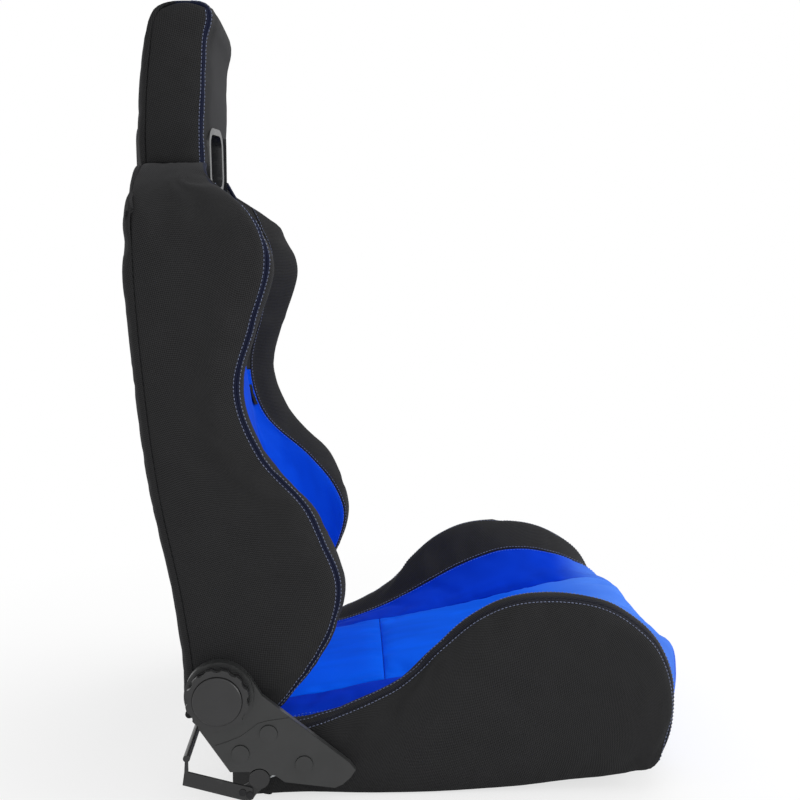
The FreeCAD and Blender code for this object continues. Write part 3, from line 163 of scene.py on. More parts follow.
# Finishes
@dataclass(frozen=True)
class WovenPolyester:
    """Twill-woven polyester seat cloth: short raised threads in diagonal steps, with a faint dry sheen.

    The real thread is about 0.6 mm. It is drawn more than five times coarser, so that it shows.
    """

    name: str
    thread: str
    gap: str
    tint: str
    thread_mm: float = 3.4
    fuzz_mm: float = 2.2
    slub_mm: float = 38.0
    relief_mm: float = 0.22
    roughness: float = 0.88
    sheen: float = 0.05

    def make(self) -> bpy.types.Material:
        """Build the material on the panel's cloth coordinates, whose unit is the metre.

        Returns:
            The finished material.
        """
        material, tree, shader = new_material(self.name)
        cloth = add(tree, "UVMap", uv_map="cloth").outputs[0]
        place = add(tree, "SeparateXYZ", {0: cloth}).outputs
        turns = 2 * math.pi / (self.thread_mm * MM)
        across = add(tree, "Math", {0: place[0], 1: turns}, operation="MULTIPLY").outputs[0]
        along = add(tree, "Math", {0: place[1], 1: turns}, operation="MULTIPLY").outputs[0]
        threads = []
        for straight, aslant, slant in ((across, along, 0.5), (along, across, -0.5)):
            diagonal = add(tree, "Math", {0: aslant, 1: slant, 2: straight}, operation="MULTIPLY_ADD")
            threads.append(add(tree, "Math", {0: diagonal.outputs[0]}, operation="SINE").outputs[0])
        crossings = add(tree, "Math", {0: threads[0], 1: threads[1]}, operation="MULTIPLY").outputs[0]
        weave = add(tree, "Math", {0: crossings, 1: 0.5, 2: 0.5}, operation="MULTIPLY_ADD").outputs[0]
        fuzz = add(tree, "TexNoise", {"Vector": cloth, "Scale": 1 / (self.fuzz_mm * MM), "Detail": 3.0,
                                      "Roughness": 0.7}).outputs["Fac"]
        slub = add(tree, "TexNoise", {"Vector": cloth, "Scale": 1 / (self.slub_mm * MM),
                                      "Detail": 2.0}).outputs["Fac"]
        height = add(tree, "Math", {0: fuzz, 1: 0.6, 2: weave}, operation="MULTIPLY_ADD").outputs[0]
        thinned_fuzz = add(tree, "Math", {0: fuzz, 1: 0.4}, operation="MULTIPLY").outputs[0]
        blended = add(tree, "Math", {0: weave, 1: 0.6, 2: thinned_fuzz}, operation="MULTIPLY_ADD").outputs[0]
        shade = add(tree, "MapRange", {0: blended, 1: 0.18, 2: 0.8}).outputs[0]
        woven = add(tree, "Mix", {0: shade, 6: self.gap, 7: self.thread}, data_type="RGBA").outputs[2]
        wear = add(tree, "Math", {0: slub, 1: 0.35}, operation="MULTIPLY").outputs[0]
        worn = add(tree, "Mix", {0: wear, 6: woven, 7: self.thread}, data_type="RGBA").outputs[2]
        seam = add(tree, "Attribute", attribute_name="seam_tint").outputs["Fac"]
        dyed = add(tree, "Mix", {0: seam, 6: worn, 7: self.tint}, data_type="RGBA").outputs[2]
        bump = add(tree, "Bump", {"Strength": 0.5, "Distance": self.relief_mm * MM, "Height": height})
        feed(tree, shader, {"Base Color": dyed, "Normal": bump.outputs[0], "Roughness": self.roughness,
                            "Specular IOR Level": 0.12, "Sheen Weight": self.sheen, "Sheen Roughness": 0.45,
                            "Sheen Tint": "#8a8d95"})
        return material


@dataclass(frozen=True)
class Microsuede:
    """Brushed microfibre suede: a dense nap that leans in patches, lighter where it is seen along the pile,
    with a painted sheen over a given stretch.

    The real nap's grain is about 0.1 mm. It is drawn nine times coarser, so that it shows.
    """

    name: str
    nap: str
    shadow: str
    nap_mm: float = 0.9
    patch_mm: float = 55.0
    relief_mm: float = 0.12
    sheen: float = 0.16
    # Painted sheen: over the cushion's nose the nap is painted paler, where the light grazes it. The paler
    # shade rises between the first two places and ends at the fold, all in metres forward of the frame's
    # centre. Other panels lie nearer.
    pale: str = "#5586e0"
    pale_from: float = 9.0
    pale_to: float = 9.1
    pale_end: float = 9.2
    fold_mm: float = 8.0

    def make(self) -> bpy.types.Material:
        """Build the material on the panel's cloth coordinates.

        Returns:
            The finished material.
        """
        material, tree, shader = new_material(self.name)
        cloth = add(tree, "UVMap", uv_map="cloth").outputs[0]
        nap = add(tree, "TexNoise", {"Vector": cloth, "Scale": 1 / (self.nap_mm * MM), "Detail": 4.0,
                                     "Roughness": 0.65}).outputs["Fac"]
        brushed = add(tree, "Mapping", {"Vector": cloth, "Scale": (1.0, 0.35, 1.0)}).outputs[0]
        patch = add(tree, "TexNoise", {"Vector": brushed, "Scale": 1 / (self.patch_mm * MM), "Detail": 3.0,
                                       "Distortion": 0.6}).outputs["Fac"]
        lean = add(tree, "Math", {0: patch, 1: 0.65}, operation="MULTIPLY").outputs[0]
        shade = add(tree, "Math", {0: nap, 1: 0.35, 2: lean}, operation="MULTIPLY_ADD").outputs[0]
        light = add(tree, "MapRange", {0: shade, 1: 0.3, 2: 0.7}).outputs[0]
        pile = add(tree, "Mix", {0: light, 6: self.shadow, 7: self.nap}, data_type="RGBA").outputs[2]
        place = add(tree, "TexCoord").outputs["Object"]
        forward = add(tree, "SeparateXYZ", {0: place}).outputs[0]
        # Painted sheen: a paler colour over the nose, mottled by the patches, that fades out past the fold.
        stretched = add(tree, "MapRange", {0: forward, 1: self.pale_from, 2: self.pale_to},
                        interpolation_type="SMOOTHSTEP").outputs[0]
        folded = add(tree, "MapRange", {0: forward, 1: self.pale_end, 2: self.pale_end + self.fold_mm * MM,
                                        3: 1.0, 4: 0.3}, interpolation_type="SMOOTHSTEP").outputs[0]
        painted_sheen_mask = add(tree, "Math", {0: stretched, 1: folded}, operation="MULTIPLY").outputs[0]
        mottle = add(tree, "Math", {0: patch, 1: 0.6, 2: 0.4}, operation="MULTIPLY_ADD").outputs[0]
        share = add(tree, "Math", {0: painted_sheen_mask, 1: mottle}, operation="MULTIPLY").outputs[0]
        colour = add(tree, "Mix", {0: share, 6: pile, 7: self.pale}, data_type="RGBA").outputs[2]
        bump = add(tree, "Bump", {"Strength": 0.45, "Distance": self.relief_mm * MM, "Height": nap})
        feed(tree, shader, {"Base Color": colour, "Normal": bump.outputs[0], "Roughness": 0.95,
                            "Specular IOR Level": 0.08, "Sheen Weight": self.sheen, "Sheen Roughness": 0.2,
                            "Sheen Tint": "#5a92ff"})
        return material


@dataclass(frozen=True)
class BondedThread:
    """Twisted bonded polyester thread: fine slanting plies and a waxy shine."""

    name: str
    colour: str
    valley: str
    ply_mm: float = 0.8
    relief_mm: float = 0.1

    def make(self) -> bpy.types.Material:
        """Build the material on object coordinates, with plies slanting across each stitch.

        Returns:
            The finished material.
        """
        material, tree, shader = new_material(self.name)
        place = add(tree, "TexCoord").outputs["Object"]
        plies = add(tree, "TexWave", {"Vector": place, "Scale": 1 / (self.ply_mm * MM) / 6.28,
                                      "Distortion": 1.5, "Detail": 1.0},
                    bands_direction="DIAGONAL").outputs["Fac"]
        colour = add(tree, "Mix", {0: plies, 6: self.valley, 7: self.colour}, data_type="RGBA").outputs[2]
        bump = add(tree, "Bump", {"Strength": 0.4, "Distance": self.relief_mm * MM, "Height": plies})
        feed(tree, shader, {"Base Color": colour, "Normal": bump.outputs[0], "Roughness": 0.55,
                            "Sheen Weight": 0.15})
        return material


@dataclass(frozen=True)
class MouldedPlastic:
    """Injection-moulded plastic with a spark-eroded grain: a soft speckled highlight, no clear reflection."""

    name: str
    colour: str
    rubbed: str
    grain_mm: float = 0.9
    handled_mm: float = 26.0
    relief_mm: float = 0.05
    roughness: float = 0.5
    shine: float = 0.3

    def make(self) -> bpy.types.Material:
        """Build the material on object coordinates.

        Returns:
            The finished material.
        """
        material, tree, shader = new_material(self.name)
        place = add(tree, "TexCoord").outputs["Object"]
        grain = add(tree, "TexVoronoi", {"Vector": place, "Scale": 1 / (self.grain_mm * MM)},
                    feature="SMOOTH_F1").outputs["Distance"]
        handled = add(tree, "TexNoise", {"Vector": place, "Scale": 1 / (self.handled_mm * MM),
                                         "Detail": 4.0}).outputs["Fac"]
        soft = add(tree, "MapRange", {0: handled, 1: 0.35, 2: 0.75, 3: 0.0, 4: 0.5}).outputs[0]
        colour = add(tree, "Mix", {0: soft, 6: self.colour, 7: self.rubbed}, data_type="RGBA").outputs[2]
        rough = add(tree, "MapRange", {0: handled, 1: 0.2, 2: 0.8, 3: self.roughness - 0.06,
                                       4: self.roughness + 0.08}).outputs[0]
        bump = add(tree, "Bump", {"Strength": 0.55, "Distance": self.relief_mm * MM, "Height": grain})
        feed(tree, shader, {"Base Color": colour, "Roughness": rough, "Normal": bump.outputs[0], "IOR": 1.5,
                            "Specular IOR Level": self.shine})
        return material


@dataclass(frozen=True)
class CoatedSteel:
    """Black powder-coated steel: a thin orange-peel skin over pressed or drawn steel."""

    name: str
    colour: str
    scuff: str
    peel_mm: float = 1.6
    scuff_mm: float = 14.0
    relief_mm: float = 0.05
    roughness: float = 0.42

    def make(self) -> bpy.types.Material:
        """Build the material on object coordinates.

        Returns:
            The finished material.
        """
        material, tree, shader = new_material(self.name)
        place = add(tree, "TexCoord").outputs["Object"]
        peel = add(tree, "TexNoise", {"Vector": place, "Scale": 1 / (self.peel_mm * MM),
                                      "Detail": 1.0}).outputs["Fac"]
        scuffs = add(tree, "TexNoise", {"Vector": place, "Scale": 1 / (self.scuff_mm * MM), "Detail": 8.0,
                                        "Roughness": 0.7}).outputs["Fac"]
        mask = add(tree, "MapRange", {0: scuffs, 1: 0.58, 2: 0.72}).outputs[0]
        colour = add(tree, "Mix", {0: mask, 6: self.colour, 7: self.scuff}, data_type="RGBA").outputs[2]
        bump = add(tree, "Bump", {"Strength": 0.35, "Distance": self.relief_mm * MM, "Height": peel})
        feed(tree, shader, {"Base Color": colour, "Normal": bump.outputs[0], "Roughness": self.roughness,
                            "Specular IOR Level": 0.35, "Coat Weight": 0.08})
        return material


@dataclass(frozen=True)
class BareMetal:
    """Plated or bare metal, turned or drawn through a die: fine lines that stretch the highlight."""

    name: str
    colour: str
    dull: str
    roughness: float = 0.3
    line_mm: float = 0.35
    bloom_mm: float = 9.0
    relief_mm: float = 0.02

    def make(self) -> bpy.types.Material:
        """Build the material on object coordinates, with the lines along the seat's width.

        Returns:
            The finished material.
        """
        material, tree, shader = new_material(self.name)
        place = add(tree, "TexCoord").outputs["Object"]
        stretched = add(tree, "Mapping", {"Vector": place, "Scale": (1.0, 0.04, 1.0)}).outputs[0]
        lines = add(tree, "TexNoise", {"Vector": stretched, "Scale": 1 / (self.line_mm * MM),
                                       "Detail": 2.0}).outputs["Fac"]
        bloom = add(tree, "TexNoise", {"Vector": place, "Scale": 1 / (self.bloom_mm * MM),
                                       "Detail": 5.0}).outputs["Fac"]
        colour = add(tree, "Mix", {0: bloom, 6: self.colour, 7: self.dull}, data_type="RGBA").outputs[2]
        rough = add(tree, "MapRange", {0: lines, 1: 0.3, 2: 0.7, 3: self.roughness - 0.07,
                                       4: self.roughness + 0.12}).outputs[0]
        bump = add(tree, "Bump", {"Strength": 0.25, "Distance": self.relief_mm * MM, "Height": lines})
        feed(tree, shader, {"Base Color": colour, "Roughness": rough, "Normal": bump.outputs[0],
                            "Metallic": 1.0})
        return material


@dataclass(frozen=True)
class FoamRubber:
    """Moulded polyurethane foam: open cells that scatter the light, a little darker between them."""

    name: str
    colour: str
    cell: str
    cell_mm: float = 1.4
    relief_mm: float = 0.4

    def make(self) -> bpy.types.Material:
        """Build the material on object coordinates.

        Returns:
            The finished material.
        """
        material, tree, shader = new_material(self.name)
        place = add(tree, "TexCoord").outputs["Object"]
        cells = add(tree, "TexVoronoi", {"Vector": place,
                                         "Scale": 1 / (self.cell_mm * MM)}).outputs["Distance"]
        colour = add(tree, "Mix", {0: cells, 6: self.cell, 7: self.colour}, data_type="RGBA").outputs[2]
        bump = add(tree, "Bump", {"Strength": 0.8, "Distance": self.relief_mm * MM, "Height": cells})
        feed(tree, shader, {"Base Color": colour, "Normal": bump.outputs[0], "Roughness": 0.95,
                            "Specular IOR Level": 0.1})
        return material


class Finishes:
    """Every finish of the seat, made once and looked up by its use."""

    def __init__(self) -> None:
        """Make the materials."""
        made = {
            "cloth": WovenPolyester("woven_polyester_black", "#343435", "#040404", "#11162a"),
            # Painted light: the three blue suedes are one cloth, in three shades for how the light falls on
            # it. The cushion's centre is lighter as painted light from above, its facings darker as painted
            # shade, and both carry a painted sheen over the nose.
            "suede": Microsuede("microsuede_blue", "#004adb", "#0038b4"),
            "cushion_suede": Microsuede("microsuede_blue_cushion", "#0068fa", "#0051d2", pale_from=0.14,
                                        pale_to=0.3, pale_end=0.322),
            "facing_suede": Microsuede("microsuede_blue_facing_painted_shade", "#003dd4", "#002eab", pale_from=0.23,
                                       pale_to=0.31, pale_end=0.322),
            "thread": BondedThread("bonded_thread_pale_blue", "#767f9c", "#4c5570"),
            "blue_thread": BondedThread("bonded_thread_blue", "#3f78ea", "#1c4fc4"),
            "label": WovenPolyester("woven_label_black", "#202022", "#0c0c0d", "#0c0c0d", thread_mm=0.8),
            "cover": MouldedPlastic("moulded_abs_dark_grey", "#292a2a", "#333334", roughness=0.36,
                                    shine=0.45),
            "wheel": MouldedPlastic("moulded_nylon_dark_grey", "#242425", "#2d2d2e", roughness=0.32,
                                    shine=0.45),
            "bezel": MouldedPlastic("moulded_abs_satin_grey", "#212224", "#2c2d2f", grain_mm=0.6,
                                    relief_mm=0.01, roughness=0.26, shine=0.4),
            "coated": CoatedSteel("powder_coated_steel", "#1d1d1e", "#2b2b2c"),
            "lever": CoatedSteel("powder_coated_lever_steel", "#262627", "#343435", roughness=0.4),
            "mechanism": BareMetal("zinc_plated_steel", "#b3b6b8", "#8b8f91", roughness=0.35),
            "bright": BareMetal("drawn_bright_steel", "#c9cbcd", "#9fa2a4", roughness=0.25),
            "spring": BareMetal("oiled_spring_steel", "#6c6d70", "#4b4c4f", roughness=0.38),
            "bush": BareMetal("sintered_bronze", "#a9824e", "#7d5f38", roughness=0.42),
            "rivet": BareMetal("blackened_rivet_steel", "#3c3c3e", "#242425", roughness=0.3),
            # Painted shadow: a black ring in the joint between each hand wheel and its cap, where the gap
            # shades.
            "seal": MouldedPlastic("painted_joint_shadow_black", "#060606", "#0d0d0d", roughness=0.6, shine=0.15),
            "foam": FoamRubber("moulded_polyurethane_foam", "#c9c2ac", "#8d8672"),
        }
        self.materials = {use: finish.make() for use, finish in made.items()}

    def __getitem__(self, use: str) -> bpy.types.Material:
        """Material for a use."""
        return self.materials[use]


# Curves and surfaces
def cubic(knots: np.ndarray, values: np.ndarray, at: np.ndarray) -> np.ndarray:
    """Smooth line through values at uneven knots.

    Args:
        knots: Rising numbers, one for each row of values.
        values: Rows that the line passes through.
        at: Places to read it at.

    Returns:
        One row for each place.
    """
    steps = np.diff(knots)
    wide = steps.reshape((-1,) + (1,) * (values.ndim - 1))
    slopes = np.diff(values, axis=0) / wide
    tangents = np.empty_like(values)
    tangents[1:-1] = (slopes[:-1] * wide[1:] + slopes[1:] * wide[:-1]) / (wide[1:] + wide[:-1])
    tangents[0] = 1.5 * slopes[0] - 0.5 * tangents[1]
    tangents[-1] = 1.5 * slopes[-1] - 0.5 * tangents[-2]
    at = np.clip(at, knots[0], knots[-1])
    cell = np.clip(np.searchsorted(knots, at, side="right") - 1, 0, len(knots) - 2)
    shape = (-1,) + (1,) * (values.ndim - 1)
    span = steps[cell].reshape(shape)
    s = ((at - knots[cell]) / steps[cell]).reshape(shape)
    return ((1 + 2 * s) * (1 - s) ** 2 * values[cell] + s * (1 - s) ** 2 * span * tangents[cell]
            + s * s * (3 - 2 * s) * values[cell + 1] + s * s * (s - 1) * span * tangents[cell + 1])


def even_places(line: np.ndarray, step: float, start: float) -> np.ndarray:
    """Places at even distances along a line.

    Args:
        line: Points of the line.
        step: Distance between the places.
        start: Distance from each end of the line that stays free.

    Returns:
        The places, counted in the line's own points and their fractions.
    """
    reach = np.concatenate([[0], np.cumsum(np.linalg.norm(np.diff(line, axis=0), axis=1))])
    return np.interp(np.arange(start, reach[-1] - start, step), reach, np.arange(len(line)))


class Surface:
    """Smooth surface through rows of control points, read by two numbers from 0 to 1."""

    def __init__(self, rows: Sequence[Sequence[Sequence[float]]]) -> None:
        """Keep the control points and work out how far apart they lie.

        Args:
            rows: Control points in millimetres, as rows along the panel of columns across it.
        """
        self.points = np.array(rows, dtype=float)
        self.v_knots = self._spread(0)
        self.u_knots = self._spread(1)

    def _spread(self, axis: int) -> np.ndarray:
        """Space knots as the control points are on average.

        Args:
            axis: 0 for the rows, 1 for the columns.

        Returns:
            Knots from 0 to 1.
        """
        gaps = np.linalg.norm(np.diff(self.points, axis=axis), axis=2).mean(axis=1 - axis)
        reach = np.concatenate([[0], np.cumsum(gaps)])
        return reach / reach[-1]

    def column(self, index: float) -> float:
        """Place across the surface of a control column, which may lie between two."""
        return float(np.interp(index, np.arange(len(self.u_knots)), self.u_knots))

    def row(self, index: float) -> float:
        """Place along the surface of a control row, which may lie between two."""
        return float(np.interp(index, np.arange(len(self.v_knots)), self.v_knots))

    def at(self, u: np.ndarray, v: np.ndarray) -> np.ndarray:
        """Points of the surface, as rows for v of columns for u."""
        rows = cubic(self.v_knots, self.points, v)
        return np.swapaxes(cubic(self.u_knots, np.swapaxes(rows, 0, 1), u), 0, 1)


def grid_normals(points: np.ndarray) -> np.ndarray:
    """Unit normals of a grid of points, to the left of u turned towards v.

    Args:
        points: Grid of points, as rows of columns.

    Returns:
        One normal for each point.
    """
    across = np.gradient(points, axis=1)
    along = np.gradient(points, axis=0)
    normals = np.cross(across, along)
    return normals / np.maximum(np.linalg.norm(normals, axis=2, keepdims=True), 1e-9)


def grid_faces(rows: int, columns: int) -> list[tuple[int, int, int, int]]:
    """Quads of a grid of points numbered row by row."""
    return [(r * columns + c, r * columns + c + 1, (r + 1) * columns + c + 1, (r + 1) * columns + c)
            for r in range(rows - 1) for c in range(columns - 1)]


def mirrored(half: Sequence[Sequence[float]]) -> list[list[float]]:
    """Mirror half a row of points to the seat's left.

    Args:
        half: Points from the right side to the centre, which isn't repeated.

    Returns:
        The full row from the right side to the left.
    """
    right = [list(point) for point in half]
    left = [[x, -y, z] for x, y, z in reversed(right[:-1])]
    return right + left


# Object tools
def new_object(name: str, points: np.ndarray, faces: list[tuple[int, ...]]) -> bpy.types.Object:
    """Put a mesh into the scene as a smooth object at the origin.

    Args:
        name: Name of the object and of its mesh.
        points: Points in metres.
        faces: Corners of each face, by the points' numbers.

    Returns:
        The new object.
    """
    mesh = bpy.data.meshes.new(name)
    mesh.from_pydata(points.reshape(-1, 3).tolist(), [], faces)
    mesh.shade_smooth()
    obj = bpy.data.objects.new(name, mesh)
    bpy.context.scene.collection.objects.link(obj)
    return obj


def discard(obj: bpy.types.Object) -> None:
    """Remove a helper object and its mesh.

    Args:
        obj: The helper object.
    """
    mesh = obj.data
    bpy.data.objects.remove(obj)
    bpy.data.meshes.remove(mesh)


def deselect() -> None:
    """Clear the selection, so that an operator acts on the new object alone."""
    if bpy.context.object and bpy.context.object.mode != "OBJECT":
        bpy.ops.object.mode_set(mode="OBJECT")
    bpy.ops.object.select_all(action="DESELECT")


def only(obj: bpy.types.Object) -> None:
    """Select one object and make it the active one.

    Args:
        obj: The object to select.
    """
    deselect()
    obj.select_set(True)
    bpy.context.view_layer.objects.active = obj


def select_long_edges(obj: bpy.types.Object, least: float) -> None:
    """Enter edit mode and select the edges that run along X.

    Args:
        obj: The active object.
        least: Length along X in the mesh's own unit, beyond which an edge is selected.
    """
    bpy.ops.object.mode_set(mode="EDIT")
    bpy.ops.mesh.select_all(action="DESELECT")
    work = bmesh.from_edit_mesh(obj.data)
    for edge in work.edges:
        if abs(edge.verts[0].co.x - edge.verts[1].co.x) > least:
            edge.select = True
    bmesh.update_edit_mesh(obj.data)


def apply_modifiers(obj: bpy.types.Object) -> None:
    """Apply an object's modifiers in their order.

    Args:
        obj: The object whose modifiers become part of its mesh.
    """
    only(obj)
    for modifier in list(obj.modifiers):
        bpy.ops.object.modifier_apply(modifier=modifier.name)


def dress(obj: bpy.types.Object, material: bpy.types.Material, body: Body) -> bpy.types.Object:
    """Give a piece its finish, its body and its material slot, and report it.

    Args:
        obj: The piece.
        material: Its finish.
        body: Moving body that carries it.

    Returns:
        The same piece.
    """
    obj.data.materials.clear()
    obj.data.materials.append(material)
    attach(obj, body.value)
    LOG.info("%s: %d faces on %s", obj.name, len(obj.data.polygons), body.value)
    return obj


def pad(node: str) -> None:
    """Hide the frame node that a padded piece stands for."""
    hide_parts(node)


# Sewn panels
@dataclass
class ClothTrial:
    """Cloth simulation of one panel: air pushes it off its foam while its seams stay where they are."""

    pressure: float = 4.0
    spare: float = 0.012
    cap_mm: float = 4.0
    step_mm: float = 9.0
    frames: int = 20
    fewest_steps: int = 6

    def lift(self, points: np.ndarray) -> np.ndarray:
        """Run the cloth and return how far each point moved.

        Args:
            points: Grid of points in metres, with the seams along its four sides.

        Returns:
            Movement of each point in metres, no longer than the cap.
        """
        rows, columns = points.shape[:2]
        obj = new_object("cloth_trial", points, grid_faces(rows, columns))
        held = obj.vertex_groups.new(name="seams")
        edge = [r * columns + c for r in range(rows) for c in range(columns)
                if r in (0, rows - 1) or c in (0, columns - 1)]
        held.add(edge, 1.0, "REPLACE")
        cloth = obj.modifiers.new("cloth", "CLOTH")
        cloth.settings.vertex_group_mass = "seams"
        cloth.settings.quality = 6
        cloth.settings.mass = 0.25
        cloth.settings.tension_stiffness = 25
        cloth.settings.compression_stiffness = 25
        cloth.settings.shear_stiffness = 12
        cloth.settings.bending_stiffness = 0.4
        cloth.settings.shrink_min = -self.spare
        cloth.settings.use_pressure = True
        cloth.settings.uniform_pressure_force = self.pressure
        cloth.settings.effector_weights.gravity = 0
        cloth.collision_settings.use_collision = False
        scene = bpy.context.scene
        for number in range(1, self.frames + 1):
            scene.frame_set(number)
        shaped = obj.evaluated_get(bpy.context.evaluated_depsgraph_get())
        moved = np.empty(rows * columns * 3)
        shaped.data.vertices.foreach_get("co", moved)
        discard(obj)
        scene.frame_set(1)
        move = moved.reshape(rows, columns, 3) - points
        length = np.linalg.norm(move, axis=2, keepdims=True)
        cap = self.cap_mm * MM
        return move * cap * np.tanh(length / cap) / np.maximum(length, 1e-9)


@dataclass
class Panel:
    """One sewn panel: a padded shell over part of a surface, with rolled edges where it is sewn.

    Sizes are in millimetres. The edges are listed as low u, high u, low v and high v. The last fields are
    worked out by the panel itself.
    """

    name: str
    surface: Surface
    u_range: tuple[float, float] = (0.0, 1.0)
    v_range: tuple[float, float] = (0.0, 1.0)
    edges: tuple[Edge, Edge, Edge, Edge] = (Edge.SEAM, Edge.SEAM, Edge.SEAM, Edge.SEAM)
    outward: tuple[float, float, float] = (0.0, 0.0, 1.0)
    thickness: float = 5.5
    swell: float = 1.5
    roll: float = 3.0
    sink: float = 1.9
    step: float = 6.5
    seam_gap: float = 0.25
    fill: float = 0.8
    trial: Optional[ClothTrial] = None
    flip: bool = field(default=False, init=False)
    points: np.ndarray = field(default=None, init=False, repr=False)
    inner: np.ndarray = field(default=None, init=False, repr=False)
    normals: np.ndarray = field(default=None, init=False, repr=False)
    reach: list = field(default=None, init=False, repr=False)
    cloth: np.ndarray = field(default=None, init=False, repr=False)
    tint: np.ndarray = field(default=None, init=False, repr=False)

    # Grid lines beside a seam, as distances from it.
    EDGE_LINES = (0.0, 0.4, 1.0, 1.8, 2.8, 4.0, 5.6, 8.0)
    # A tucked edge rolls away over a wider strip than a sewn one.
    TUCKED_ROLL = 2.2
    # Depth of the dark blue along double and paired seams, and the widths of its full and its fading strip.
    TINTS = {Edge.DOUBLE: 1.0, Edge.PAIRED: 0.35}
    TINT_WIDTH = 3.2
    TINT_FADE = 1.0

    def _places(self, low: float, high: float, length: float) -> np.ndarray:
        """Grid lines from one edge to the other, close together at both.

        Args:
            low: Place of the first edge on the surface.
            high: Place of the other edge.
            length: Distance between them.

        Returns:
            Places of the grid lines on the surface.
        """
        near = np.array(self.EDGE_LINES)
        steps = max(3, round((length - 2 * near[-1]) / self.step))
        middle = np.linspace(near[-1], length - near[-1], steps)
        lines = np.concatenate([near[:-1], middle, length - near[-2::-1]])
        lines = self.seam_gap + lines * (length - 2 * self.seam_gap) / length
        return low + (high - low) * lines / length

    def _lengths(self) -> tuple[float, float]:
        """Measure the panel on a coarse grid.

        Returns:
            Its mean size across and along, in millimetres.
        """
        samples = 25
        grid = self.surface.at(np.linspace(*self.u_range, samples), np.linspace(*self.v_range, samples))
        across = np.linalg.norm(np.diff(grid, axis=1), axis=2).sum(axis=1).mean()
        along = np.linalg.norm(np.diff(grid, axis=0), axis=2).sum(axis=0).mean()
        return float(across), float(along)

    def _lift(self, u: np.ndarray, v: np.ndarray, across: float, along: float) -> np.ndarray:
        """Find how far the padding pushes each point, from the cloth trial or from a plain crown.

        Args:
            u: Grid lines across the panel.
            v: Grid lines along it.
            across: Mean size across.
            along: Mean size along.

        Returns:
            Movement of each point in millimetres.
        """
        share_u = (u - self.u_range[0]) / (self.u_range[1] - self.u_range[0])
        share_v = (v - self.v_range[0]) / (self.v_range[1] - self.v_range[0])
        if self.trial is None:
            crown = np.outer(np.sqrt(np.sin(np.pi * share_v)), np.sqrt(np.sin(np.pi * share_u)))
            return crown[:, :, None] * self.normals * self.swell
        columns = max(self.trial.fewest_steps, round(across / self.trial.step_mm)) + 1
        rows = max(self.trial.fewest_steps, round(along / self.trial.step_mm)) + 1
        coarse = self.surface.at(np.linspace(*self.u_range, columns), np.linspace(*self.v_range, rows)) * MM
        order = -1 if self.flip else 1
        move = self.trial.lift(coarse[:, ::order])[:, ::order]
        lifted = cubic(np.linspace(0, 1, rows), move, share_v)
        return np.swapaxes(cubic(np.linspace(0, 1, columns), np.swapaxes(lifted, 0, 1), share_u), 0, 1) / MM

    def _shape(self) -> None:
        """Work out the panel's two faces, its normals, its cloth coordinates and its tint."""
        across, along = self._lengths()
        u = self._places(*self.u_range, across)
        v = self._places(*self.v_range, along)
        base = self.surface.at(u, v)
        self.flip = float((grid_normals(base) * np.array(self.outward)).sum()) < 0
        out = -1 if self.flip else 1
        self.normals = grid_normals(base) * out
        self.inner = base - self.normals * self.thickness
        gaps_u = np.linalg.norm(np.diff(base, axis=1), axis=2)
        gaps_v = np.linalg.norm(np.diff(base, axis=0), axis=2)
        run_u = np.concatenate([np.zeros((len(v), 1)), np.cumsum(gaps_u, axis=1)], axis=1)
        run_v = np.concatenate([np.zeros((1, len(u))), np.cumsum(gaps_v, axis=0)], axis=0)
        middle = run_u[:, len(u) // 2][:, None]
        self.cloth = np.stack([(run_u - middle) * MM, run_v * MM], axis=2)
        self.reach = [run_u, run_u[:, -1:] - run_u, run_v, run_v[-1:, :] - run_v]
        drop = np.zeros(base.shape[:2])
        self.tint = np.zeros(base.shape[:2])
        for distance, edge in zip(self.reach, self.edges):
            roll = self.roll * (self.TUCKED_ROLL if edge is Edge.TUCKED else 1.0)
            near = np.clip(1 - distance / roll, 0, 1)
            drop = np.maximum(drop, self.sink * (1 - np.sqrt(1 - near ** 2)))
            strip = np.clip(1 - (distance - self.TINT_WIDTH) / self.TINT_FADE, 0, 1)
            self.tint = np.maximum(self.tint, self.TINTS.get(edge, 0.0) * strip)
        self.points = base + self._lift(u, v, across, along) - self.normals * drop[:, :, None]
        self.normals = grid_normals(self.points) * out

    def build(self) -> bpy.types.Object:
        """Make the padded shell as one closed mesh.

        Returns:
            The object, with its cloth coordinates and the tint along double seams.
        """
        self._shape()
        rows, columns = self.points.shape[:2]
        count = rows * columns
        outer = grid_faces(rows, columns)
        inner = [tuple(count + i for i in reversed(face)) for face in outer]
        first_row = [(0, c) for c in range(columns)]
        last_column = [(r, columns - 1) for r in range(1, rows)]
        last_row = [(rows - 1, c) for c in range(columns - 2, -1, -1)]
        first_column = [(r, 0) for r in range(rows - 2, 0, -1)]
        loop = [r * columns + c for r, c in first_row + last_column + last_row + first_column]
        rim = [(loop[i], loop[i - 1], count + loop[i - 1], count + loop[i]) for i in range(len(loop))]
        faces = outer + inner + rim
        if self.flip:
            faces = [tuple(reversed(face)) for face in faces]
        points = np.concatenate([self.points.reshape(-1, 3), self.inner.reshape(-1, 3)]) * MM
        obj = new_object(f"sewn_{self.name}", points, faces)
        mesh = obj.data
        flat = np.concatenate([self.cloth.reshape(-1, 2)] * 2)
        corners = np.empty(len(mesh.loops), dtype=int)
        mesh.loops.foreach_get("vertex_index", corners)
        layer = mesh.uv_layers.new(name="cloth")
        layer.data.foreach_set("uv", flat[corners].ravel())
        tint = mesh.attributes.new("seam_tint", "FLOAT", "POINT")
        tint.data.foreach_set("value", np.concatenate([self.tint.ravel()] * 2))
        return obj

    def sew(self, finishes: Finishes, use: str, body: Body, node: str) -> bpy.types.Object:
        """Build the panel, dress it and hide the node of the frame that it stands for.

        Args:
            finishes: Finishes of the seat.
            use: Which of them covers the panel.
            body: Moving body that carries it.
            node: Node of the frame that it stands for.

        Returns:
            The finished piece.
        """
        piece = dress(self.build(), finishes[use], body)
        pad(node)
        return piece

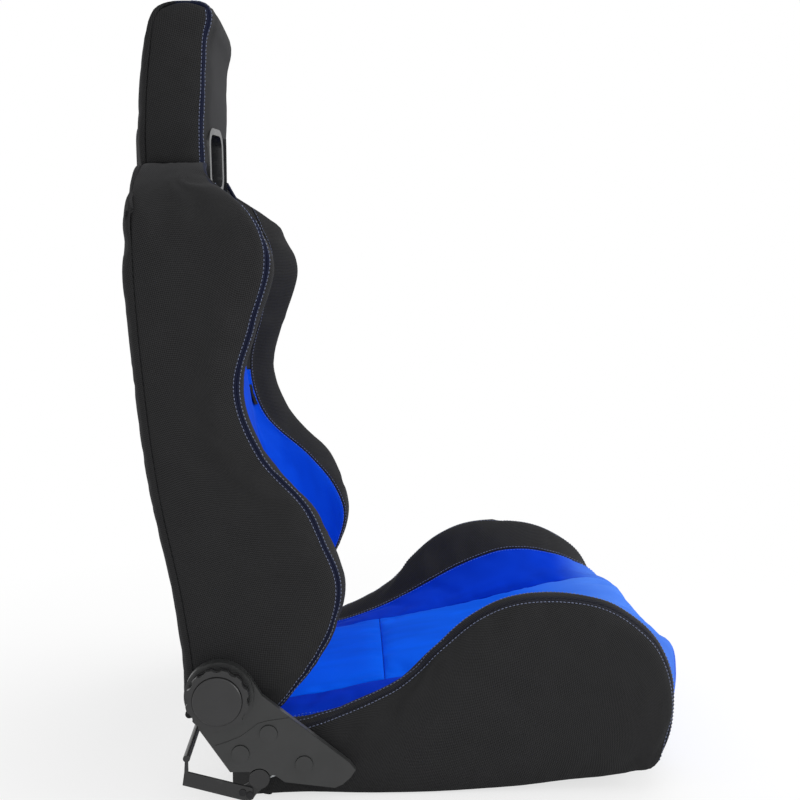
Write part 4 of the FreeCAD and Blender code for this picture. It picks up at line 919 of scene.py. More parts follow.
    def line(self, side: int, inset: float, last: float = 1.0) -> tuple[np.ndarray, np.ndarray]:
        """Line on the panel's face that runs beside one of its edges.

        Args:
            side: 0 for low u, 1 for high u, 2 for low v, 3 for high v.
            inset: Distance from the edge in millimetres.
            last: Where the line ends, as a share of the edge.

        Returns:
            Points and unit normals in millimetres.
        """
        points, normals, reach = self.points, self.normals, self.reach[side]
        if side > 1:
            points, normals, reach = (np.swapaxes(item, 0, 1) for item in (points, normals, reach))
        spots, ups = [], []
        for row in range(int(round(last * (len(points) - 1))) + 1):
            order = np.argsort(reach[row])
            run = reach[row][order]
            spots.append([np.interp(inset, run, points[row][order][:, k]) for k in range(3)])
            ups.append([np.interp(inset, run, normals[row][order][:, k]) for k in range(3)])
        ups = np.array(ups)
        return np.array(spots), ups / np.linalg.norm(ups, axis=1, keepdims=True)


# Stitching
@dataclass
class StitchRow:
    """Lock-stitch rows: one stitch is modelled, and every other is a copy of its mesh laid on the cloth.

    Sizes are in millimetres. The thread is drawn at about twice its real thickness, so that it shows.
    """

    pitch: float = 4.6
    length: float = 3.1
    radius: float = 0.46
    arch: float = 0.45
    dip: float = 0.35
    narrowing: float = 0.35
    lead_in: float = 0.6
    # How far to each side of a stitch its direction is read, in the line's own points.
    look: float = 0.4

    def one_stitch(self) -> tuple[np.ndarray, list[tuple[int, ...]]]:
        """Model one stitch along X with its ends turned down into the cloth.

        Returns:
            Its points in millimetres and its faces.
        """
        deselect()
        bpy.ops.mesh.primitive_cylinder_add(vertices=6, radius=self.radius, depth=self.length,
                                            end_fill_type="TRIFAN", rotation=(0, math.pi / 2, 0))
        obj = bpy.context.object
        bpy.ops.object.transform_apply(location=False, rotation=True, scale=False)
        select_long_edges(obj, self.length * 0.9)
        bpy.ops.mesh.subdivide(number_cuts=3)
        bpy.ops.object.mode_set(mode="OBJECT")
        points = np.array([tuple(v.co) for v in obj.data.vertices])
        faces = [tuple(p.vertices) for p in obj.data.polygons]
        share = np.clip(np.abs(points[:, 0]) / (self.length / 2), 0, 1)
        points[:, 2] += self.arch * (1 - share ** 2) - self.dip * share ** 4
        points[:, 1] *= 1 - self.narrowing * share ** 3
        discard(obj)
        return points, faces

    def build(self, name: str, lines: Iterable[tuple[np.ndarray, np.ndarray]]) -> bpy.types.Object:
        """Lay stitches along lines on the cloth.

        Args:
            name: Name of the piece.
            lines: Points and normals of each line, in millimetres.

        Returns:
            One object that holds all the stitches.
        """
        stitch, stitch_faces = self.one_stitch()
        laid, faces = [], []
        for points, normals in lines:
            index = np.arange(len(points))
            for place in even_places(points, self.pitch, self.pitch * self.lead_in):
                spot, ahead, behind, up = (
                    np.array([np.interp(at, index, data[:, k]) for k in range(3)])
                    for at, data in ((place, points), (min(place + self.look, index[-1]), points),
                                     (max(place - self.look, 0), points), (place, normals)))
                run = (ahead - behind) / max(np.linalg.norm(ahead - behind), 1e-9)
                side = np.cross(up, run)
                side /= max(np.linalg.norm(side), 1e-9)
                up = np.cross(run, side)
                first = len(laid) * len(stitch)
                laid.append(spot + stitch[:, :1] * run + stitch[:, 1:2] * side + stitch[:, 2:] * up)
                faces += [tuple(first + i for i in face) for face in stitch_faces]
        return new_object(name, np.concatenate(laid) * MM, faces)


# Seams that cushion and backrest share
# Control column of each lengthwise seam, counted from the outer edge of a top or front surface.
SEAM_COLUMNS = {"seam": 0, "insert": 3, "crease": 6}


def strips(surface: Surface) -> dict[str, tuple[float, float]]:
    """Find the lengthwise strips of a top or front surface between its seams.

    Args:
        surface: Surface whose columns run from the right seam over the centre to the left seam.

    Returns:
        Range across the surface of the centre and of each side's facing and band.
    """
    last = len(surface.u_knots) - 1
    seams = {name: (surface.column(at), surface.column(last - at)) for name, at in SEAM_COLUMNS.items()}
    found = {"centre": seams["crease"]}
    for pick, (word, _) in enumerate(SIDES):
        found[f"facing_{word}"] = tuple(sorted((seams["insert"][pick], seams["crease"][pick])))
        found[f"band_{word}"] = tuple(sorted((seams["seam"][pick], seams["insert"][pick])))
    return found


def low_high(side: int, outer: object, inner: object) -> tuple[object, object]:
    """Order what belongs to a strip's outer and inner edge as low u and high u."""
    return (outer, inner) if side < 0 else (inner, outer)


# Cushion
@dataclass
class Cushion:
    """Seat cushion: a blue centre with a cross seam, sloping blue facings, black bands and flat sides.

    Outlines are side views as x and z in millimetres, from the rear over the nose and down its front. The
    widths are the distances of crease, insert, crest and seam from the seat's centre.
    """

    centre: tuple = ((-165, 78), (-92, 90), (-45, 101), (0, 109), (60, 119), (110, 129), (150, 138),
                     (190, 147), (235, 155), (280, 159), (322, 147), (337, 115), (312, 45))
    crease: tuple = ((-165, 76), (-92, 87), (-45, 97), (0, 104), (60, 115), (110, 125), (150, 135),
                     (190, 144), (235, 153), (278, 159), (319, 149), (335, 117), (311, 45))
    insert: tuple = ((-163, 74), (-95, 83), (-45, 97), (0, 115), (50, 143), (95, 168), (150, 189),
                     (190, 193), (228, 188), (268, 173), (306, 148), (319, 108), (304, 40))
    crest: tuple = ((-158, 78), (-87, 101), (-17, 134), (24, 172), (66, 208), (108, 229), (155, 235),
                    (205, 230), (245, 214), (286, 178), (306, 130), (307, 80), (291, 30))
    widths: tuple = (130, 190, 226, 239)
    facing_middle: float = 162
    centre_middle: float = 60
    seam_drop: float = 3.5
    # The far bolster was stuffed a little lower: how far its crest lies under the near one's, row by row,
    # and how much of that its columns take, counted from the left seam.
    far_drop: tuple = (4, 9.5, 5.5, 0.5, 3, 6.5, 8, 8.5, 8, 3, 0, 0, 0)
    far_shares: tuple = ((-4, 0.35), (-3, 0.8), (-2, 1.0), (-1, 1.0))
    # How far the near facing bulges forward and up at the nose, row by row. The far one stays flatter.
    nose_bulge: tuple = ((0, 0),) * 9 + ((2, 3), (9, 5), (3, 1), (2, 0))
    far_facing: int = -5
    cross_seam_row: float = 2.31
    # Lower edge of the sides, from the rear to the nose, and their rear edge from the seam to the floor.
    floor: tuple = ((-185, 2), (-134, 3.5), (-50, 0.8), (30, 0.8), (81, 3), (123, 5.5), (181, 11.8),
                    (230, 15.8), (276, 23.5))
    side_rear: tuple = ((-167, 75), (-176, 66), (-184.5, 44), (-185, 12), (-185, 2))
    side_half: float = 244.6
    side_rows: int = 25
    rear_x: float = -185.0
    # Rear wall as height and how far it leans in, and its columns as lean, distance from the centre.
    skirt_rows: tuple = ((0.5, 9), (3, 3), (12, 0), (40, 0), (56, 1), (66, 8), (75, 20))
    skirt_columns: tuple = ((9, -241), (3, -237.5), (0, -226), (-0.6, -90), (-0.6, 0))
    # Lip under the nose as lift and setback of each row, and the nose's lower edge as y, x and z.
    lip_rows: tuple = ((0, 0), (-3.5, 4), (-5, 12), (-4.5, 24), (-3, 34))
    lip_edge: tuple = ((-238, 289, 33), (-226, 291, 30), (-190, 298, 40), (-130, 308, 45), (0, 310, 45))

    def _seam_line(self) -> list[tuple[float, float]]:
        """Find the outer seam in the side view.

        Returns:
            The crest moved inwards, as x and z.
        """
        crest = np.array(self.crest, dtype=float)
        run = np.gradient(crest, axis=0)
        run /= np.linalg.norm(run, axis=1, keepdims=True)
        return [(x + self.seam_drop * dz, z - self.seam_drop * dx) for (x, z), (dx, dz) in zip(crest, run)]

    def top(self) -> Surface:
        """Lay the whole top, from the rear over the crest of the nose and down its front.

        Returns:
            The surface, whose columns run from the right seam over the centre to the left seam.
        """
        crease_y, insert_y, crest_y, seam_y = self.widths
        rows = []
        for centre, crease, insert, crest, seam, bulge, lower in zip(
                self.centre, self.crease, self.insert, self.crest, self._seam_line(), self.nose_bulge,
                self.far_drop):
            row = mirrored([
                (seam[0], -seam_y, seam[1]),
                (crest[0], -crest_y, crest[1]),
                (0.45 * insert[0] + 0.55 * crest[0], -(insert_y + 20),
                 0.42 * insert[1] + 0.58 * crest[1] + 2),
                (insert[0], -insert_y, insert[1]),
                ((crease[0] + insert[0]) / 2 + bulge[0], -self.facing_middle,
                 (crease[1] + insert[1]) / 2 - 1 + bulge[1]),
                (0.86 * crease[0] + 0.14 * insert[0], -crease_y - 7, 0.88 * crease[1] + 0.12 * insert[1]),
                (crease[0], -crease_y, crease[1]),
                (0.93 * crease[0] + 0.07 * centre[0], -crease_y + 9, 0.93 * crease[1] + 0.07 * centre[1]),
                (centre[0], -self.centre_middle, 0.25 * crease[1] + 0.75 * centre[1]),
                (centre[0], 0, centre[1])])
            for place, share in self.far_shares:
                row[place][2] -= share * lower
            row[self.far_facing][0] -= bulge[0]
            row[self.far_facing][2] -= 1.6 * bulge[1]
            rows.append(row)
        return Surface(rows)

    def side(self, side: int) -> Surface:
        """Lay a flat outer side, from the seam down to the lower edge.

        Args:
            side: -1 for the right side, 1 for the left.

        Returns:
            The surface, with its rows from the rear to the nose.
        """
        seam = self._seam_line()
        if side > 0:
            seam = [(x, z - lower) for (x, z), lower in zip(seam, self.far_drop)]
        share = np.linspace(0, 1, self.side_rows)
        upper = cubic(np.linspace(0, 1, len(seam)), np.array(seam), share)
        floor = np.array(self.floor, dtype=float)
        reach = np.concatenate([[0], np.cumsum(np.linalg.norm(np.diff(floor, axis=0), axis=1))])
        lower = cubic(reach / reach[-1], floor, share)
        rows = []
        for (top_x, top_z), (low_x, low_z) in zip(upper, lower):
            down_x, down_z = low_x - top_x, low_z - top_z
            rows.append([
                (top_x, side * self.widths[3], top_z),
                (top_x + 0.05 * down_x, side * (self.side_half - 1.2), top_z + 0.05 * down_z),
                (top_x + 0.14 * down_x, side * self.side_half, top_z + 0.14 * down_z),
                ((top_x + low_x) / 2, side * (self.side_half + 0.8), (top_z + low_z) / 2),
                (low_x - 0.12 * down_x, side * self.side_half, low_z - 0.12 * down_z),
                (low_x, side * (self.side_half - 3), low_z)])
        rows[0][1:] = [(x, y, z) for (_, y, _), (x, z) in zip(rows[0][1:], self.side_rear)]
        return Surface(rows)

    def build(self, finishes: Finishes) -> None:
        """Build and dress the cushion's panels and stitches.

        Args:
            finishes: Finishes of the seat.
        """
        top = self.top()
        across = strips(top)
        cross = top.row(self.cross_seam_row)
        puff = ClothTrial(cap_mm=3.5, spare=0.014)
        panels = [
            Panel("cushion_centre_rear", top, across["centre"], (0.0, cross),
                  (Edge.SEAM, Edge.SEAM, Edge.TUCKED, Edge.SEAM), roll=2.2, sink=1.4, trial=puff),
            Panel("cushion_centre_front", top, across["centre"], (cross, 1.0),
                  (Edge.SEAM, Edge.SEAM, Edge.SEAM, Edge.TUCKED), roll=2.2, sink=1.4, trial=puff)]
        ends = (Edge.TUCKED, Edge.TUCKED)
        for word, side in SIDES:
            panels.append(Panel(f"cushion_facing_{word}", top, across[f"facing_{word}"],
                                edges=(Edge.SEAM, Edge.SEAM) + ends, roll=2.6, sink=1.6, trial=puff))
            panels.append(Panel(f"cushion_band_{word}", top, across[f"band_{word}"],
                                edges=low_high(side, Edge.PAIRED, Edge.SEAM) + ends,
                                trial=ClothTrial(cap_mm=3.0)))
        for word, side in SIDES:
            panels.append(Panel(f"cushion_side_{word}", self.side(side),
                                edges=(Edge.PAIRED, Edge.TUCKED) + ends, outward=(0.0, side, 0.0),
                                trial=ClothTrial(cap_mm=2.0)))
        for panel in panels:
            # The centre gets the lighter copy of the suede as painted light, the facings the darker copy as
            # painted shade.
            if "facing" in panel.name:
                panel.sew(finishes, "facing_suede", Body.BASE, "cushion_insert")
            elif "centre" in panel.name:
                panel.sew(finishes, "cushion_suede", Body.BASE, "cushion_insert")
            else:
                panel.sew(finishes, "cloth", Body.BASE, panel.name)
        self._stitch({panel.name: panel for panel in panels}, finishes)
        self._skirt(finishes)

    def _stitch(self, panels: dict[str, Panel], finishes: Finishes) -> None:
        """Sew the rows beside the seams.

        Args:
            panels: Panels by name, already built.
            finishes: Finishes of the seat.
        """
        rows = StitchRow()
        for word, side in SIDES:
            outer, inner = low_high(side, 0, 1)
            band = panels[f"cushion_band_{word}"]
            pale = [band.line(outer, 13.0), band.line(inner, 2.6),
                    panels[f"cushion_side_{word}"].line(0, 4.0)]
            dress(rows.build(f"cushion_stitches_{word}", pale), finishes["thread"], Body.BASE)
            blue = [panels[f"cushion_facing_{word}"].line(outer, 2.6)]
            dress(rows.build(f"cushion_facing_stitches_{word}", blue), finishes["blue_thread"], Body.BASE)

    def _skirt(self, finishes: Finishes) -> None:
        """Close the cushion's cover with its rear wall and the lip under its nose.

        Args:
            finishes: Finishes of the seat.
        """
        wall = [mirrored([(self.rear_x + inset + lean, y, z) for lean, y in self.skirt_columns])
                for z, inset in self.skirt_rows]
        lip = [mirrored([(x - back - 2, y, z + lift - back * 0.08) for y, x, z in self.lip_edge])
               for lift, back in self.lip_rows]
        for name, rows, outward, swell in (("cushion_skirt_rear", wall, BACKWARD, 0.8),
                                           ("cushion_nose_lip", lip, DOWNWARD, 0.6)):
            panel = Panel(name, Surface(rows), edges=(Edge.TUCKED,) * 4, outward=outward, swell=swell,
                          fill=0.5)
            panel.sew(finishes, "cloth", Body.BASE, "cushion_skirt")


# Backrest
@dataclass
class Backrest:
    """Backrest: two pairs of wings, a blue insert, a black upper panel, flat sides and a plain rear.

    Outlines are side views in millimetres: x at each of the heights, then at three more heights up to the
    outline's own top. The tops and widths belong to centre, crease, flank, insert, shoulder and crest.
    """

    heights: tuple = (100, 150, 199, 250, 300, 335, 400, 475, 549, 614)
    rear: tuple = (-266, -267, -273, -281, -291, -298, -308, -316, -322, -325.5, -323, -326.5, -332)
    centre: tuple = (-186, -184, -182, -183, -188, -193, -207, -219, -228, -236, -241, -246, -249)
    crease: tuple = (-188, -188, -187, -189, -195, -200, -214, -226, -234, -240, -244, -248, -250)
    flank: tuple = (-170, -150, -135, -130, -150, -172, -214, -230, -228, -224, -227, -235, -243)
    insert: tuple = (-162, -123, -96, -86, -110, -140, -205, -226, -211, -195, -199, -213, -231)
    shoulder: tuple = (-160, -120, -93, -83, -100, -123, -184, -208, -191, -175, -180, -196, -216)
    crest: tuple = (-158, -117, -90, -81, -98, -114, -168, -194, -176, -159, -165, -178, -192)
    tops: tuple = (741, 739, 728, 714, 702, 686)
    widths: tuple = (0, 130, 168, 190, 206, 226)
    # Where insert, shoulder and crest end at the shoulder seam, and the crest's place before that.
    outline_ends: tuple = ((-230, -190.5, 713.5), (-214, -207.5, 700.5), (-190, -225, 680.5))
    crest_turn: tuple = (-178.5, -226, 661)
    seam_drop: float = 7.0
    seam_half: float = 239.5
    side_half: float = 244.5
    # Shoulder seam beyond the last full height, as x, distance from the centre and height, and the rear
    # edge of the side panel beside it.
    shoulder_seam: tuple = ((-166, 238.5, 631), (-171, 236, 650), (-179, 232, 666), (-191, 224.5, 681),
                            (-202, 217, 691), (-213.5, 208, 700), (-226, 198, 708), (-233, 187, 715),
                            (-239, 168, 726), (-243, 145, 735), (-245, 121, 741))
    shoulder_rear: tuple = ((-314, 244.5, 634), (-315, 241.5, 654), (-316.5, 234.5, 671), (-318, 223.5, 687),
                            (-318.5, 215, 696), (-319, 206, 703), (-319.5, 197, 709), (-320, 187, 715),
                            (-320.5, 168, 725.5), (-321, 145, 734), (-321, 121, 740))
    # Height of the side panel's bulge towards its upper end, row by row from the neck down.
    shoulder_bulge: tuple = (0.05, 0.2, 0.45, 0.7, 0.85)
    # The last rows of the rear lean forward over the shoulder, and its corner is drawn in there.
    rear_rows: int = 13
    shoulder_rows: int = 2
    shoulder_ease: float = 2.2
    corner_ease: float = 4
    neck_ease: float = 8
    blue_wing_top: float = 470
    blue_centre_top: float = 610
    rear_strip: float = 12
    side_row_end: float = 0.8
    # The far wing was stuffed a little fuller: how far forward its rows lie of the near wing's, and how
    # much of that its columns take, counted from the left seam.
    far_fullness: tuple = (0, 0, 1, 4, 9, 10, 5.5, 4, 4, 6, 9, 11, 14)
    far_shares: tuple = ((-4, 0.7), (-3, 1.0), (-2, 1.0))

    def _outlines(self) -> list[np.ndarray]:
        """Place the front outlines at their widths.

        Returns:
            For each outline its points, from the lower edge to the shoulder line.
        """
        lines = []
        for xs, top, y in zip((self.centre, self.crease, self.flank, self.insert, self.shoulder, self.crest),
                              self.tops, self.widths):
            step = (top - self.heights[-1]) / 3
            zs = list(self.heights) + [self.heights[-1] + step * k for k in (1, 2, 3)]
            lines.append(np.array([(x, -y, z) for x, z in zip(xs, zs)], dtype=float))
        return lines

    def front_seam(self) -> np.ndarray:
        """Outer seam of the right wing up over the shoulder to the neck."""
        low = [(x - self.seam_drop, self.seam_half, z) for x, z in zip(self.crest, self.heights)]
        return np.array([(x, -y, z) for x, y, z in low + list(self.shoulder_seam)], dtype=float)

    def rear_seam(self) -> np.ndarray:
        """Rear seam of the right side panel up over the shoulder to the neck."""
        low = [(x + self.rear_strip, self.side_half, z) for x, z in zip(self.rear, self.heights)]
        return np.array([(x, -y, z) for x, y, z in low + list(self.shoulder_rear)], dtype=float)

    def front(self) -> Surface:
        """Lay the front between the outer seams.

        Returns:
            The surface, whose columns run from the right seam over the centre to the left seam.
        """
        outlines = self._outlines()
        for line, end in zip(outlines[3:], self.outline_ends):
            line[-1] = end
        outlines[5][-2] = self.crest_turn
        rows = []
        for centre, crease, flank, insert, shoulder, crest, seam, fuller in zip(
                *outlines, self.front_seam()[:self.rear_rows], self.far_fullness):
            hollow = 0.5 * crease + 0.5 * centre + [(centre - crease)[0] * 0.25, 0, 0]
            row = mirrored([seam, crest, shoulder, insert, flank, 0.75 * crease + 0.25 * flank, crease,
                            0.92 * crease + 0.08 * centre, hollow, centre])
            for place, share in self.far_shares:
                row[place][0] += share * fuller
            rows.append(row)
        return Surface(rows)

    def side(self, side: int) -> Surface:
        """Lay a side panel between the outer seam and the rear seam, over the shoulder to the neck.

        Args:
            side: -1 for the right side, 1 for the left.

        Returns:
            The surface, with its rows from the lower edge to the neck.
        """
        seam, rear = self.front_seam(), self.rear_seam()
        run = np.gradient(seam, axis=0)
        bulges = [1.0] * (len(seam) - len(self.shoulder_bulge)) + list(reversed(self.shoulder_bulge))
        rows = []
        for fore, aft, along, full in zip(seam, rear, run, bulges):
            out = np.array([0, -along[2], along[1]])
            out /= max(np.linalg.norm(out), 1e-9)
            if out[1] > 0:
                out = -out
            chord = (aft - fore) / np.linalg.norm(aft - fore)
            sink = float(np.dot(aft - fore, out))
            rows.append([fore, fore + chord * 8 + out * 3.9 * full, fore + chord * 20 + out * 5.2 * full,
                         (fore + aft) / 2 + out * (5.8 - sink / 2) * full,
                         aft - chord * 16 + out * 0.8 * full, aft])
        rows = np.array(rows)
        rows[:, :, 1] *= -side
        return Surface(rows)

    def back(self) -> Surface:
        """Lay the rear between the two rear seams.

        Returns:
            The surface, with its rows from the lower edge to the neck.
        """
        seam = self.rear_seam()
        outlines = self._outlines()
        rows = []
        for index in range(self.rear_rows):
            above = index - (self.rear_rows - 1 - self.shoulder_rows)
            x = self.rear[index] + (self.neck_ease if above == self.shoulder_rows else 0)
            ease = self.shoulder_ease * max(0, above)
            centre_z, crease_z, flank_z, _, shoulder_z, crest_z = (line[index][2] for line in outlines)
            edge = seam[index]
            rows.append(mirrored([
                edge, (x + 4.5 + ease, -0.55 * abs(edge[1]) - 0.45 * 240, 0.5 * edge[2] + 0.5 * crest_z),
                (x + 0.8 + ease, -236 + (self.corner_ease if above > 0 else 0), crest_z),
                (x + 0.6 * ease, -206, shoulder_z), (x, -168, flank_z), (x - 0.5, -90, crease_z + 1),
                (x - 0.5, 0, centre_z)]))
        return Surface(rows)

    def build(self, finishes: Finishes) -> dict[str, bpy.types.Object]:
        """Build and dress the backrest's panels and stitches.

        Args:
            finishes: Finishes of the seat.

        Returns:
            The pieces that the harness slots cut into.
        """
        front = self.front()
        across = strips(front)
        wing, centre = (front.row(float(np.interp(z, self.heights, range(len(self.heights)))))
                        for z in (self.blue_wing_top, self.blue_centre_top))
        puff = ClothTrial(cap_mm=3.0)
        low = (Edge.SEAM, Edge.SEAM, Edge.TUCKED, Edge.SEAM)
        panels = [Panel("back_centre", front, across["centre"], (0.0, centre), low, FORWARD, roll=2.2,
                        sink=1.4, trial=puff),
                  Panel("back_upper_panel", front, across["centre"], (centre, 1.0), outward=FORWARD, roll=2.6,
                        sink=1.4, swell=1.0)]
        for word, side in SIDES:
            facing = across[f"facing_{word}"]
            panels += [
                Panel(f"back_facing_{word}", front, facing, (0.0, wing), low, FORWARD, roll=2.6, sink=1.6,
                      trial=puff),
                Panel(f"back_upper_facing_{word}", front, facing, (wing, 1.0), outward=FORWARD, roll=2.6,
                      sink=1.6, trial=puff),
                Panel(f"back_band_{word}", front, across[f"band_{word}"],
                      edges=low_high(side, Edge.DOUBLE, Edge.SEAM) + (Edge.TUCKED, Edge.SEAM),
                      outward=FORWARD, trial=ClothTrial(cap_mm=1.6)),
                Panel(f"back_side_{word}", self.side(side),
                      edges=(Edge.DOUBLE, Edge.SEAM, Edge.TUCKED, Edge.SEAM), outward=(0.0, side, 0.0),
                      trial=ClothTrial(cap_mm=2.5))]
        panels.append(Panel("back_rear_panel", self.back(), edges=low, outward=BACKWARD, roll=2.6, sink=1.4,
                            trial=ClothTrial(cap_mm=1.5)))
        stands_for = {"back_centre": "back_insert", "back_facing": "back_insert",
                      "back_upper_facing": "back_upper_panel"}
        pieces = {}
        for panel in panels:
            base = panel.name.replace("_right", "").replace("_left", "")
            node = stands_for.get(base, panel.name)
            use = "suede" if node == "back_insert" else "cloth"
            pieces[panel.name] = panel.sew(finishes, use, Body.BACK, node)
        self._stitch({panel.name: panel for panel in panels}, finishes)
        return {name: pieces[name] for name in ("back_upper_panel", "back_rear_panel")}

    def _stitch(self, panels: dict[str, Panel], finishes: Finishes) -> None:
        """Sew the rows beside the seams.

        Args:
            panels: Panels by name, already built.
            finishes: Finishes of the seat.
        """
        rows = StitchRow()
        for word, side in SIDES:
            outer, inner = low_high(side, 0, 1)
            band = panels[f"back_band_{word}"]
            pale = [band.line(outer, 4.0), band.line(inner, 2.6),
                    panels[f"back_side_{word}"].line(0, 4.0, last=self.side_row_end)]
            dress(rows.build(f"back_stitches_{word}", pale), finishes["thread"], Body.BACK)
            blue = [panels[f"back_facing_{word}"].line(outer, 2.6)]
            dress(rows.build(f"back_facing_stitches_{word}", blue), finishes["blue_thread"], Body.BACK)


# Headrest
@dataclass
class Headrest:
    """Headrest: a front pad that wraps over the top, two sides and a plain rear, with two harness slots.

    Outlines are side views as x and z in millimetres, from the neck upwards.
    """

    front: tuple = ((-250, 741), (-250.5, 765), (-250, 790), (-248, 825), (-246.5, 860), (-243.5, 892),
                    (-239, 909), (-238.5, 919), (-242, 927), (-250, 931.5), (-268, 932.5), (-288, 932))
    rear: tuple = ((-329, 741), (-329.5, 770), (-328.5, 800), (-325, 848), (-321, 880), (-316, 907),
                   (-308, 923.5), (-290, 932))
    side_front: tuple = ((-250.5, 740), (-251, 768), (-250.5, 795), (-248, 830), (-246.5, 863), (-244, 895),
                         (-240, 912), (-242, 924))
    side_rear: tuple = ((-319, 740), (-319.5, 770), (-318.5, 800), (-315.5, 842), (-312, 873), (-308.5, 900),
                        (-305, 913), (-298, 922.5))
    # Height of the front pad's crown, and how much of it each point of the front outline takes.
    crown: float = 9.5
    fullness: tuple = (0.55, 0.6, 0.72, 0.72, 0.55, 0.5, 0.52, 0.45, 0.55, 0.6, 0.4, 0.3)
    # Columns of the front pad from the right seam to the centre, and their share of the crown.
    pad_columns: tuple = ((-98, 0.42), (-75, 0.72), (-40, 0.93), (0, 1.0))
    seam_rise: float = 1.2
    seam_dip: float = -1.5
    # The far seam was pulled back a little near the top: how far, point by point of the front outline, and
    # how much of that its columns take, counted from the left seam.
    far_tuck: tuple = (0, 0, 0, 0, 1, 2, 2.5, 4, 4, 3, 1, 0)
    far_shares: tuple = ((-3, 0.7), (-2, 1.0), (-1, 1.0))
    # How far the sides arch up in the last two rows, and how far they lean in at the last.
    side_arch: tuple = (0, 0, 0, 0, 0, 0, 1.5, 6.0)
    side_lean: tuple = (0, 0, 0, 0, 0, 0, 0, 2.5)
    half: float = 118
    seam_half: float = 114
    stitch_end: float = 0.8

    def front_surface(self) -> Surface:
        """Lay the front pad, from the neck up over the top edge.

        Returns:
            The surface, whose columns run from the right seam to the left seam.
        """
        outline = np.array(self.front, dtype=float)
        rows = []
        for index, (x, z) in enumerate(self.front):
            dx, dz = outline[min(index + 1, len(outline) - 1)] - outline[max(index - 1, 0)]
            length = math.hypot(dx, dz)
            out_x, out_z = dz / length, -dx / length
            full = self.crown * self.fullness[index]
            lifts = [(-self.seam_half, self.seam_dip), (-108, self.seam_rise)]
            lifts += [(y, full * share) for y, share in self.pad_columns]
            row = mirrored([(x + out_x * lift, y, z + out_z * lift) for y, lift in lifts])
            for place, share in self.far_shares:
                row[place][0] -= share * self.far_tuck[index]
            rows.append(row)
        return Surface(rows)

    def side_surface(self, side: int) -> Surface:
        """Lay a side panel between the front and rear seams.

        Args:
            side: -1 for the right side, 1 for the left.

        Returns:
            The surface, with its rows from the neck upwards.
        """
        rows = []
        for (fore_x, fore_z), (aft_x, aft_z), tuck, arch, lean in zip(
                self.side_front, self.side_rear, self.far_tuck, self.side_arch, self.side_lean):
            fore_x -= tuck if side > 0 else 0
            flat = self.half - lean
            rows.append([(fore_x, side * self.seam_half, fore_z),
                         (fore_x - 7, side * (flat - 0.8), fore_z + arch * 0.5),
                         (fore_x - 18, side * flat, fore_z + arch),
                         ((fore_x + aft_x) / 2, side * (flat + 0.6), (fore_z + aft_z) / 2 + arch * 1.25),
                         (aft_x + 14, side * flat, aft_z + arch),
                         (aft_x, side * (self.seam_half + 1.5), aft_z)])
        return Surface(rows)

    def rear_surface(self) -> Surface:
        """Plain rear, rolled round its corners and over the top edge."""
        return Surface([mirrored([(x + 10, -self.seam_half - 1.5, z), (x + 3.5, -113, z), (x + 0.8, -104, z),
                                  (x, -80, z), (x - 1, 0, z)]) for x, z in self.rear])

    def build(self, finishes: Finishes) -> dict[str, bpy.types.Object]:
        """Build and dress the headrest's panels and stitches.

        Args:
            finishes: Finishes of the seat.

        Returns:
            The pieces that the harness slots cut into.
        """
        front = Panel("head_front", self.front_surface(),
                      edges=(Edge.DOUBLE, Edge.DOUBLE, Edge.SEAM, Edge.SEAM), outward=FORWARD, fill=0.85,
                      trial=ClothTrial(cap_mm=1.5))
        rear = Panel("head_rear", self.rear_surface(), outward=BACKWARD, roll=2.6, sink=1.8, fill=0.85,
                     trial=ClothTrial(cap_mm=2.0))
        sides = {word: Panel(f"head_side_{word}", self.side_surface(side),
                             edges=(Edge.DOUBLE, Edge.SEAM, Edge.SEAM, Edge.SEAM), outward=(0.0, side, 0.0),
                             fill=0.85, trial=ClothTrial(cap_mm=1.5)) for word, side in SIDES}
        slotted = {panel.name: panel.sew(finishes, "cloth", Body.BACK, "head_cover")
                   for panel in (front, rear)}
        for panel in sides.values():
            panel.sew(finishes, "cloth", Body.BACK, "head_cover")
        rows = StitchRow()
        for word, side in SIDES:
            lines = [front.line(low_high(side, 0, 1)[0], 4.0, last=self.stitch_end), sides[word].line(0, 4.0)]
            dress(rows.build(f"head_stitches_{word}", lines), finishes["thread"], Body.BACK)
        return slotted


# Harness slots
@dataclass
class HarnessSlots:
    """Two harness openings through the neck, cut from the sewn pieces to fit the moulded bezels.

    Sizes are in millimetres and degrees.
    """

    x: float = -285
    z: float = 750
    offset: float = 56.5
    width: float = 61
    height: float = 64
    depth: float = 200
    corner: float = 14
    tilt: float = 4
    wall: float = 2.8

    def cutter(self, side: int) -> bpy.types.Object:
        """Model the rounded, tilted bar that cuts one opening.

        Args:
            side: -1 for the right side, 1 for the left.

        Returns:
            The bar, turned and placed by its object.
        """
        deselect()
        bpy.ops.mesh.primitive_cube_add(size=1)
        bar = bpy.context.object
        bar.scale = (self.depth * MM, (self.width + 2 * self.wall) * MM, (self.height + 2 * self.wall) * MM)
        bpy.ops.object.transform_apply(location=False, rotation=False, scale=True)
        select_long_edges(bar, self.depth * MM / 2)
        bpy.ops.mesh.bevel(offset=(self.corner + self.wall) * MM, segments=6, affect="EDGES")
        bpy.ops.object.mode_set(mode="OBJECT")
        bar.matrix_world = (Matrix.Translation((self.x * MM, side * self.offset * MM, self.z * MM))
                            @ Matrix.Rotation(math.radians(-side * self.tilt), 4, "X"))
        return bar

    def cut(self, pieces: dict[str, bpy.types.Object]) -> None:
        """Cut both openings from the pieces.

        Args:
            pieces: Sewn pieces that the openings go through, by name.
        """
        for _, side in SIDES:
            bar = self.cutter(side)
            for piece in pieces.values():
                knife = piece.modifiers.new("slot", "BOOLEAN")
                knife.operation = "DIFFERENCE"
                knife.object = bar
                knife.solver = "EXACT"
                apply_modifiers(piece)
            discard(bar)


